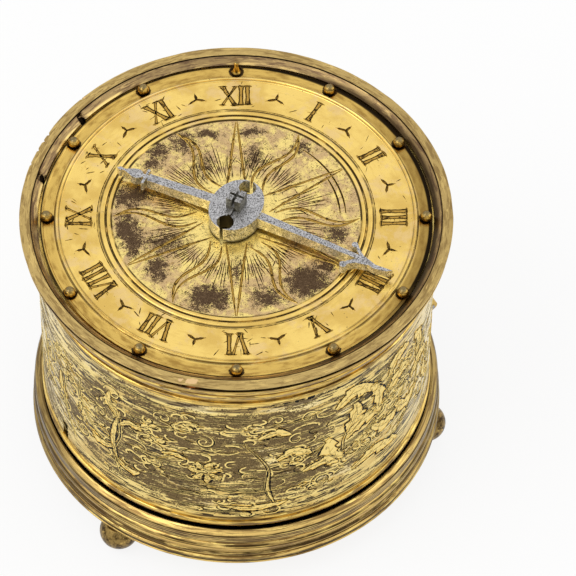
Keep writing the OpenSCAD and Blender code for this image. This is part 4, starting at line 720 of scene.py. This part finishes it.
def beyond(point, radius, degrees):
    """The point at this distance and in this direction from another."""
    out = polar(radius, degrees)
    return (point[0] + out[0], point[1] + out[1])


def beside_ray(radius, offset, azimuth, turn=90):
    """A point along a ray from the middle, and beside it: to its left, or with -90 to its right."""
    out, side = polar(1, azimuth), polar(1, azimuth + turn)
    return (out[0] * radius + side[0] * offset, out[1] * radius + side[1] * offset)


def arc(radius, start, end, step=3):
    count = max(2, round(abs(end - start) / step))
    return [polar(radius, start + (end - start) * k / count) for k in range(count + 1)]


def hook(x, y, width, height, start, bend, count):
    """Part of an oval: its middle, half sizes, where it starts and how far it bends."""
    turns = [math.radians(start + bend * k / count) for k in range(count + 1)]
    return [(x + width * math.cos(turn), y + height * math.sin(turn)) for turn in turns]


# Each Roman letter's width, then its strokes: foot x, foot y, top x and top y as shares of the height, width
THICK, THIN = 0.68, 0.38
LETTERS = {
    "I": (1.25, [(0, 0, 0, 1, THICK)]),
    "V": (2.5, [(0, 0, -0.27, 1, THICK), (0, 0, 0.27, 1, THIN)]),
    "X": (2.6, [(0.27, 0, -0.27, 1, THICK), (-0.27, 0, 0.27, 1, THIN)]),
}
HOURS = ["XII", "I", "II", "III", "IIII", "V", "VI", "VII", "VIII", "IX", "X", "XI"]
NUMERAL_LOW, NUMERAL_HIGH = 23.4, 27.4
LETTER_SLIP = 0.14
SERIF = 0.45
SERIF_WIDTH = 0.36
SCRAPED_HOURS = (6, 9, 10, 11)


def engrave_hours(cuts):
    """Roman hours that read from the middle of the dial."""
    height = NUMERAL_HIGH - NUMERAL_LOW
    for hour, text in enumerate(HOURS):
        azimuth = 90 - HOUR * hour
        at = -sum(LETTERS[letter][0] for letter in text) / 2
        for letter in text:
            advance, strokes = LETTERS[letter]
            middle = at + advance / 2
            at += advance
            for foot_x, foot_y, top_x, top_y, width in strokes:
                slip = [cuts.random.uniform(-LETTER_SLIP, LETTER_SLIP) for _ in range(4)]
                ends = [(middle + foot_x * height + slip[0], foot_y * height + slip[1]),
                        (middle + top_x * height + slip[2], top_y * height + slip[3])]
                stroke = [beside_ray(NUMERAL_LOW + v, u, azimuth, -90) for u, v in ends]
                cuts.line(stroke, width, ends=(1, 1), flare=0.5)
                half = width / 2 + SERIF
                for u, v in ends:
                    serif = [beside_ray(NUMERAL_LOW + v, u + side, azimuth, -90) for side in (-half, half)]
                    cuts.line(serif, SERIF_WIDTH, ends=(0.1, 0.1), jitter=0.3)


def engrave_scratches(fine):
    """Slips of the graver and scrapes round the hours, most of them where the hours were scraped."""
    for hour in range(12):
        for _ in range(16 if hour in SCRAPED_HOURS else 6):
            radius = fine.random.uniform(NUMERAL_LOW - 0.6, NUMERAL_HIGH + 0.6)
            start = polar(radius, 90 - HOUR * hour + fine.random.gauss(0, 5))
            turn, length = fine.random.uniform(0, 360), fine.random.uniform(0.4, 1.6)
            path = [start, beyond(start, length, turn)]
            fine.line(path, 0.13, lip=0.0, deep=0.015, ends=(0.3, 0.1), jitter=0.5)


def engrave_darts(cuts, fine):
    """A three-pointed mark halfway between each two hours."""
    for azimuth in HALF_HOURS:
        middle = polar(DART_RING_R, azimuth)
        for turn, length in ((0, 1.2), (115, 1.6), (-115, 1.5)):
            tip, long_tip = [beyond(middle, share * length, azimuth + turn) for share in (1, 1.15)]
            cuts.line([middle, tip], 0.42, ends=(0.9, 0.02), jitter=0.2)
            fine.line([middle, long_tip], 0.14, lip=0.0, deep=0.04, ends=(1, 0.1))


def flame_offset(radius):
    """How far a flame's middle line lies beside its ray: on one side within the bend, then on the other."""
    if radius < FLAME_BEND_R:
        return 0.9 * math.sin(math.pi * (FLAME_BEND_R - radius) / 6)
    return -1.3 * math.sin(math.pi * (radius - FLAME_BEND_R) / 7.7)


STRAIGHT_RAYS = (90, 270, 30, 209, 330, 150)
FLAMES = (60, 0, 300, 240, 180, 120)
RAY_TIP = CENTRE_R - 0.2
# A straight ray's edge: radius, half width
RAY_EDGE = ((RAY_TIP, 0.1), (10, 1.1), (5.2, 1.7))
FLAME_FOOT, FLAME_SHOULDER, FLAME_BEND_R = 6.3, 8, 12.6
FLAME_STEPS = 28
FAN_SIDE = 6


def engrave_sun(cuts, fine):
    """Six straight rays, six flames and fans of fine lines between them."""
    for azimuth in STRAIGHT_RAYS:
        for side in (-1, 1):
            edge = [beside_ray(radius, side * half, azimuth) for radius, half in RAY_EDGE]
            cuts.line(edge, 0.36, ends=(0.2, 0.3), jitter=0.3)
    for azimuth in FLAMES:
        for side in (-1, 1):
            edge = []
            for k in range(FLAME_STEPS + 1):
                radius = FLAME_FOOT + (RAY_TIP - FLAME_FOOT) * k / FLAME_STEPS
                half = 1.05 * (1 - max(0, (radius - FLAME_SHOULDER) / (RAY_TIP - FLAME_SHOULDER)) ** 1.4)
                edge.append(beside_ray(radius, flame_offset(radius) + side * half, azimuth))
            cuts.line(edge, 0.4, ends=(0.3, 0.2), jitter=0.3)
    for azimuth in HALF_HOURS:
        for n in range(2 * FAN_SIDE + 1):
            spread = (n - FAN_SIDE) / FAN_SIDE
            start = beside_ray(7.4 + 1.7 * (n % 2) + fine.random.uniform(0, 1.2), spread * 1.5, azimuth)
            reach = 14.4 + fine.random.uniform(-2.4, 1.6) - 1.6 * abs(spread)
            middle = beside_ray(10.8, spread * 2.1 + fine.random.uniform(-0.1, 0.1), azimuth)
            end = beside_ray(reach, spread * 3.1 + fine.random.uniform(-0.2, 0.2), azimuth)
            fine.line([start, middle, end], 0.15, lip=0.0, deep=0.015, ends=(0.2, 0.3), jitter=0.4)


def engrave_rings(fine):
    """Two scribed arcs on the right of the middle, and the ring inside the hour ring."""
    for radius, start, end in ((17.7, 3, 52), (16.8, 3, 30)):
        fine.line(arc(radius, start, end), 0.28, lip=0.03, deep=0.02, ends=(0.5, 0.5))
    fine.line(arc(CHAPTER_IN_R + 0.3, 0, 360), 0.1, lip=0.02, deep=0.012, ends=(1, 1), jitter=0.6)


# Stems and leaves of the drum's front: points along each; a leaf also has its greatest width and its lobes
STEMS = [
    [(1, 37), (3.6, 33), (5.2, 29), (5.0, 24), (6.3, 19)], [(18.5, 26), (18.2, 31), (19.8, 35), (20.6, 39)],
    [(18.5, 26.5), (24, 30), (27.5, 35), (28, 40)], [(24, 30), (30, 30), (33, 33)],
    [(-20.3, 20.5), (-21.5, 26), (-20.2, 31), (-20.4, 37.5)], [(-6, 26), (-2.5, 23.8), (2.5, 23), (8, 23.6)],
    [(30, 22), (35, 26), (37, 32), (36, 38)], [(40, 19), (44, 25), (45, 33)],
    [(-31, 20), (-34, 27), (-33, 35)], [(-22, 26), (-26, 28), (-29, 33), (-29, 38)],
    [(-44, 20), (-41, 27), (-42, 36)],
    [(-15, 37), (-11, 39), (-7, 38.5)], [(6, 41.5), (10, 41), (14, 42)], [(-18, 30), (-14, 29), (-11, 31)],
    [(7, 31), (11, 30.5), (15, 32.5)],
]
LEAVES = [
    ([(16.8, 40.4), (19.6, 42.6), (23.2, 41.6), (24.8, 39.2)], 3.2, 2),
    ([(20.4, 39.5), (20.8, 36), (19, 32)], 3.4, 2),
    ([(18.4, 26.5), (15.8, 29), (15.6, 33.5)], 3.2, 3), ([(18.6, 31), (22, 33.5), (26.5, 33)], 3.0, 3),
    ([(24.2, 30), (27, 27.5), (31, 28.5)], 2.8, 3), ([(25.5, 33.5), (25.6, 38), (23.8, 41.5)], 2.6, 3),
    ([(28, 36), (31, 38), (34, 37.5)], 3.2, 3), ([(30, 30), (33, 27), (37, 28)], 3.0, 3),
    ([(28, 40), (30, 43), (33.5, 43)], 2.6, 2), ([(34.5, 32), (38, 34.5), (41, 33)], 2.8, 3),
    ([(36.5, 36), (37.5, 40), (35.5, 43)], 2.6, 3), ([(20, 21.5), (25, 22.5), (31, 20)], 2.6, 2),
    ([(6.5, 31.5), (9.5, 33), (12.5, 31.2)], 2.2, 2), ([(3.6, 37.8), (6.2, 39.2), (9, 38)], 1.8, 2),
    ([(11, 26.6), (14.5, 27.6), (17.5, 25.6)], 2.2, 2), ([(-2, 19.5), (3, 18.6), (8.5, 19.6)], 1.6, 1),
    ([(-20.6, 36), (-22.5, 38.5), (-22, 41.5)], 1.6, 2), ([(-20.2, 34), (-18, 35.8), (-15.8, 35.2)], 1.5, 2),
    ([(-21.5, 27), (-24, 25.5), (-26.5, 26.5)], 1.7, 2), ([(-21, 24), (-18.6, 22.4), (-16.4, 23)], 1.6, 2),
    ([(-20.6, 23), (-21.5, 29), (-20.4, 36)], 1.1, 0), ([(5.4, 29), (5.1, 24), (6.2, 19.5)], 0.9, 0),
    ([(-33, 28), (-35, 30.5), (-35, 33.5)], 1.6, 2), ([(-12.4, 31.4), (-10, 32), (-8, 31.2)], 1.2, 1),
    ([(45, 28), (48, 31), (48, 36)], 2.8, 3), ([(44, 24), (41, 26), (40, 30)], 2.4, 3),
]
# Curls: middle along and up, radius, start in degrees, turns, hand
CURLS = [
    (-12, 41.2, 1.9, 200, 1.2, -1), (-8.4, 40, 1.5, 20, 1.1, 1), (-5.2, 37, 2.0, 100, 1.4, -1),
    (6.6, 42.4, 1.6, 180, 1.1, -1), (11.8, 41.4, 1.4, 0, 1.0, 1), (14.2, 22.6, 2.0, 90, 1.8, 1),
    (32, 31.6, 2.6, 180, 1.3, -1), (29, 33.8, 1.8, 30, 1.1, 1), (-21.4, 41.4, 2.0, 180, 1.3, -1),
    (-24, 34, 1.6, 240, 1.2, -1), (-38.6, 34, 2.4, 60, 1.6, 1), (-34, 39.4, 2.0, 300, 1.5, -1),
    (-15, 33, 1.7, 30, 1.2, 1), (-13.6, 27.6, 1.5, 120, 1.2, -1), (9.8, 36.4, 1.3, 60, 1.0, 1),
    (-28.5, 24.6, 1.8, 160, 1.3, 1), (38.5, 24.6, 2.0, 40, 1.4, -1), (22.6, 26.4, 1.7, 270, 1.2, 1),
]
# Tufts of small hooks: middle along and up, reach, how many
TUFTS = [
    (-5, 29, 2.6, 24), (-14, 36.5, 4, 28), (-9, 40.5, 3, 16), (-22, 38, 3.2, 18), (-15, 26, 3, 14),
    (-28, 30, 4, 22), (3, 40.5, 4, 16), (10, 30.5, 4, 16), (27, 33, 5, 36), (33, 38, 4, 26),
    (22, 27.5, 3.5, 20), (0, 20, 5, 12), (-34, 36, 4, 22), (12, 22, 3, 10), (40, 30, 5, 22),
    (-40, 27, 4, 14),
]
# Patches of dark parallel cuts: left end, lowest line, length, how many
HATCHING = [
    (20.6, 33.6, 3.4, 7), (22.5, 28.2, 3.2, 5), (27.4, 28.4, 4.0, 6), (26.8, 36.6, 3.4, 8), (31, 33, 4, 7),
    (21, 23.6, 5, 5), (33.4, 25, 4, 6), (13, 29, 3, 5), (36.6, 34.6, 4, 8), (40.5, 27, 4, 7),
    (24, 40, 3.5, 5),
]
ROSETTE = (-5.0, 28.6)
SCROLL_UNITS = 6
# Where a scroll unit's leaves stand round its middle, and each one's run: distance out, degrees on
SCROLL_LEAVES = (20, 95, 165, 240, 300)
SCROLL_LEAF = ((4.6, 0), (6.6, 10), (8.6, 26))
# Chips under the upper mouldings: place along the front, length
WALL_CHIPS = ((6.2, 1.2), (8.1, 1.5), (10.2, 1.7), (12.2, 1.3), (13.9, 0.8), (15.2, 0.5), (16.9, 1.0))
WALL_ROUND = 2 * math.pi * DRUM_R
WALL_MIDDLE = 31
FRONT_REACH = 48


def engrave_rosette(cuts):
    for k in range(7):
        azimuth = 51.4 * k + 10
        petal = [beyond(ROSETTE, reach, azimuth + bend) for reach, bend in ((0.7, 0), (1.8, 14), (3.0, 6))]
        cuts.leaf(petal, 1.3, 1)
    cuts.curl(*ROSETTE, 0.7, 0, 1.4)


def engrave_tufts(cuts):
    for x, y, reach, count in TUFTS:
        for _ in range(count):
            at_x, at_y = cuts.random.gauss(x, 0.55 * reach), cuts.random.gauss(y, 0.42 * reach)
            size = cuts.random.uniform(0.45, 1.1)
            bend = cuts.random.choice((-1, 1)) * cuts.random.uniform(100, 220)
            path = hook(at_x, at_y, 1.25 * size, 0.8 * size, cuts.random.uniform(0, 360), bend, 7)
            cuts.line(path, 0.26, lip=0.34, far_lip=0.0, deep=0.05, ends=(0.1, 0.1), jitter=0.4)


def engrave_front(cuts):
    """Foliage of the drum's front: a tall plant, scrolls with lobed leaves, a flower and tufts."""
    for points, width, lobes in LEAVES:
        cuts.leaf(points, width, lobes)
    for points in STEMS:
        path = smooth(points)
        for side in (-0.25, 0.25):
            edge = [(x + side, y) for x, y in path]
            cuts.line(edge, 0.2, lip=0.1, far_lip=0.02, deep=0.05, ends=(0.4, 0.3), jitter=0.3)
    for curl in CURLS:
        cuts.curl(*curl)
    engrave_rosette(cuts)
    engrave_tufts(cuts)


def engrave_back(cuts):
    """The same foliage as a running scroll round the rest of the drum; every second unit is upside down."""
    span = WALL_ROUND - 2 * FRONT_REACH
    for k in range(SCROLL_UNITS):
        x = FRONT_REACH + span * (k + 0.5) / SCROLL_UNITS
        flip = 1 if k % 2 else -1
        low = WALL_MIDDLE - 9 * flip
        middle = (x, WALL_MIDDLE + 2 * flip)
        stem = smooth([(x - 8, WALL_MIDDLE - 5 * flip), (x - 3, low), (x + 3, low + 2 * flip),
                       (x + 9, WALL_MIDDLE + 5 * flip)])
        cuts.line(stem, 0.26, lip=0.08, deep=0.05, ends=(0.5, 0.5))
        cuts.curl(*middle, 5.2, -90 * flip, 1.7, -flip, 0.3)
        for turn in SCROLL_LEAVES:
            path = [beyond(middle, reach, (turn + bend) * flip) for reach, bend in SCROLL_LEAF]
            cuts.leaf(path, 2.6, 3)


def engrave_scribbles(fine, count=420):
    """Small hooks and scratches of the shaded ground, denser over the middle of its height."""
    for _ in range(count):
        x = fine.random.uniform(0, WALL_ROUND)
        y = WALL_MIDDLE + fine.random.triangular(-13, 13)
        size = fine.random.uniform(0.7, 1.7)
        bend = fine.random.choice((-1, 1)) * fine.random.uniform(60, 170)
        path = hook(x, y, 1.5 * size, 0.8 * size, fine.random.uniform(0, 360), bend, 6)
        lip = fine.random.choice((0.0, 0.2, 0.3))
        fine.line(path, 0.22, lip=lip, far_lip=0.0, deep=0.03, ends=(0.2, 0.2), jitter=0.4)


def engrave_hatching(fine):
    """Dark parallel cuts that set off the leaves on the right of the front."""
    for x, y, width, rows in HATCHING:
        for row in range(rows):
            left, high = x + fine.random.uniform(-0.5, 0.5), y + 0.52 * row
            right = left + width * fine.random.uniform(0.6, 1)
            path = [(left, high), ((left + right) / 2, high + 0.25), (right, high + 0.7)]
            fine.line(path, 0.24, lip=0.06, deep=0.02, ends=(0.2, 0.2), jitter=0.4)


def engrave_level_lines(fine, count=620):
    """Level shading lines of the ground."""
    for _ in range(count):
        x, y = fine.random.uniform(0, WALL_ROUND), fine.random.uniform(17.5, 45.5)
        length, drift = fine.random.uniform(2.5, 8), fine.random.uniform(-0.5, 0.5)
        path = [(x, y), (x + length / 2, y + drift * 0.3), (x + length, y + drift)]
        fine.line(path, 0.19, lip=0.04, deep=0.015, ends=(0.1, 0.1), jitter=0.4)


def engrave_chips(fine):
    """A broken row of dark chips under the upper mouldings."""
    for x, length in WALL_CHIPS:
        y = DRUM_HIGH - 5.75 - 0.08 * (x - 6)
        path = [(x - length / 2, y - 0.2), (x, y + 0.1), (x + length / 2, y)]
        fine.line(path, 0.75, lip=0.03, deep=0.02, ends=(0.2, 0.4), jitter=0.5)


# The rim's outside from its foot up to the groove: how far outside the drum's wall, height above the foot
RIM_BEADS = (
    (1.25, 0), (1.42, 0.12), (1.42, 0.3), (1.3, 0.4), (1.38, 0.6), (1.7, 0.85), (2.0, 0.95), (2.1, 1.0),
    (2.12, 1.06), (2.3, 1.1), (2.48, 1.2), (2.52, 1.4), (2.42, 1.55),
)
# Nicks knocked into the rim: direction in degrees, half width in degrees, depth
OUTER_NICKS = (
    (151.9, 0.5, 0.35), (154.5, 0.4, 0.4), (157.9, 0.5, 0.3), (136.8, 0.25, 0.15), (163.0, 0.6, 0.2),
)
INNER_NICKS = ((141.4, 1.1, 0.8), (165.8, 1.5, 0.85))
# The bore's edge leans inwards over the channel on one side: by how much, and in which direction
BORE_LEAN, BORE_LEAN_AZIMUTH = 0.36, -65
BORE_EDGE = 0.4
WOBBLE = 0.035


def nick_depth(nicks, azimuth, steep=1):
    """How deep the nicks cut at this direction; a steep one has a flat floor."""
    return sum(deep * min(1, steep * max(0, 1 - abs(azimuth - at) / half)) for at, half, deep in nicks)


def make_rim():
    """The rim as turned and used: a thin lip over a dark groove, beads below, and nicks in both edges."""
    low, top = DRUM_HIGH, RIM_TOP
    profile = [(DRUM_R + out, low + up) for out, up in RIM_BEADS]
    profile += [(DRUM_R + 1.5, top - 1.12), (DRUM_R + 1.5, top - 0.4), (RIM_R - 0.12, top - 0.34)]
    profile += [(RIM_R, top - 0.26), (RIM_R, top - 0.1), (RIM_R - 0.09, top)]
    profile += [(RIM_FLAT_R, top), (RIM_FLAT_R - 0.03, top - 0.22), (RIM_FLAT_R - 0.13, top - 0.22),
                (RIM_FLAT_R - 0.16, top - 0.08), (RIM_BORE_R + 0.3, top - 0.9), (RIM_BORE_R + 0.15, top - 1)]
    profile += [(RIM_BORE_R, z) for z in (top - 1.15, low + 0.9, low + 0.85, low)]
    count, across = 900, len(profile)
    points, faces = [], []
    for i in range(count):
        azimuth = 360 * i / count
        angle = math.radians(azimuth)
        wobble = WOBBLE * (math.sin(7 * angle + 1) + math.sin(17 * angle) + 0.6 * math.sin(41 * angle))
        lean = BORE_LEAN * max(0, math.cos(angle - math.radians(BORE_LEAN_AZIMUTH)))
        for r, z in profile:
            if r > RIM_R - 0.2:
                r -= max(0, wobble) + nick_depth(OUTER_NICKS, azimuth)
            if r < RIM_BORE_R + BORE_EDGE and z > low + 0.87:
                r -= lean
            if r < RIM_BORE_R + BORE_EDGE and z > top - 1.3:
                r += nick_depth(INNER_NICKS, azimuth, 2)
            points.append((r * math.cos(angle) * MM, r * math.sin(angle) * MM, z * MM))
        row, onward = i * across, (i + 1) % count * across
        for k in range(across):
            k2 = (k + 1) % across
            faces.append((row + k, onward + k, onward + k2, row + k2))
    rim = add_mesh("turned_rim", points, faces, [rim_brass])
    rim.data.shade_smooth()
    rim.data.set_sharp_from_angle(angle=math.radians(35))
    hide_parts("bezel_rim")
    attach(rim, "case")


make_camera()
bpy.context.scene.view_settings.view_transform = "Standard"
make_world()
make_floor()
make_lamp("key", (-0.55, -0.25, 0.75), (0, 0, 0.04), 0.7, 3)
make_lamp("fill", (0.7, 0.1, 0.5), (0, 0, 0.03), 0.9, 1.2)

gilding, band_gilding = dial_gilding(), old_gilding()
rim_brass, base_brass, stud_brass = rim_metal(), base_metal(), stud_metal()
feet_brass = aged_brass("feet_brass", rgb(150, 124, 72), rgb(66, 50, 28), rgb(196, 164, 94))
hand_steel = granular_steel("hand_steel")
boss_steel = granular_steel("arbor_steel", light=rgb(178, 176, 174), dark=rgb(54, 52, 49),
                            side=rgb(92, 90, 80), bright_side=rgb(150, 148, 132))
lip = cut_material("cut_lip", rgb(222, 184, 92), GOLD_DARK)
# The dark walls of the cuts: grime in them, and painted shade of the cut walls
dirt_and_shade = cut_material("cut_dirt_and_shade", rgb(30, 22, 10), rgb(110, 84, 40), 0.6)
hair_dirt_and_shade = cut_material("hair_dirt_and_shade", rgb(50, 38, 18), rgb(124, 96, 48), 0.64)
cut_floor = cut_material("cut_floor", rgb(186, 148, 70), rgb(74, 55, 26), 0.5, 0.8)
wall_lip = cut_material("wall_lip", GOLD_LIGHT, rgb(150, 122, 70), 0.54, 1.0)
wall_dirt_and_shade = cut_material("wall_dirt_and_shade", rgb(16, 12, 6), rgb(100, 80, 46), 0.68, 1.0)
leaf_gold = cut_material("leaf_gold", GOLD_LIGHT, rgb(160, 132, 78), 0.56, 1.2)

NODE_LOOKS = {
    "dial_plate": gilding, "case_band": band_gilding, "bezel_rim": rim_brass, "base_ring": base_brass,
    "ball_feet": feet_brass, "touch_studs": stud_brass, "noon_stud": stud_brass,
    "hour_hand": hand_steel, "hour_arbor": boss_steel, "hand_pin": boss_steel,
}
SLOT_LOOKS = {
    "gilt_case": plain_metal("worked_brass_gilt", rgb(214, 178, 96)),
    "gilt_dial": gilding,
    "aged_brass": feet_brass,
    "steel": plain_metal("worked_steel", rgb(168, 168, 172)),
    "dark_steel": plain_metal("dark_steel", rgb(86, 86, 92)),
    "iron": plain_metal("worked_iron", rgb(122, 120, 118), 0.45),
    "gut": twisted_gut("twisted_gut"),
    "bristle": plain_metal("hog_bristle", rgb(60, 48, 38), 0.6),
}

make_rim()
for name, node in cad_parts.items():
    for place in node.material_slots:
        fallback = SLOT_LOOKS.get(place.material.name if place.material else "", feet_brass)
        place.material = NODE_LOOKS.get(name, fallback)

cuts = Engraving("dial_engraving", on_dial, (lip, dirt_and_shade, cut_floor), seed=7)
fine = Engraving("dial_fine_lines", on_dial, (lip, hair_dirt_and_shade, hair_dirt_and_shade), seed=8)
engrave_hours(cuts)
engrave_darts(cuts, fine)
engrave_sun(cuts, fine)
engrave_rings(fine)
engrave_scratches(fine)
for work in (cuts, fine):
    work.build("case")
wall_cuts = Engraving("wall_engraving", on_wall, (wall_lip, wall_dirt_and_shade, wall_dirt_and_shade, leaf_gold), seed=9)
wall_fine = Engraving("wall_fine_lines", on_wall, (wall_lip, wall_dirt_and_shade, wall_dirt_and_shade), seed=10)
engrave_front(wall_cuts)
engrave_back(wall_cuts)
engrave_scribbles(wall_fine)
engrave_hatching(wall_fine)
engrave_level_lines(wall_fine)
engrave_chips(wall_fine)
for work in (wall_cuts, wall_fine):
    work.build("case")
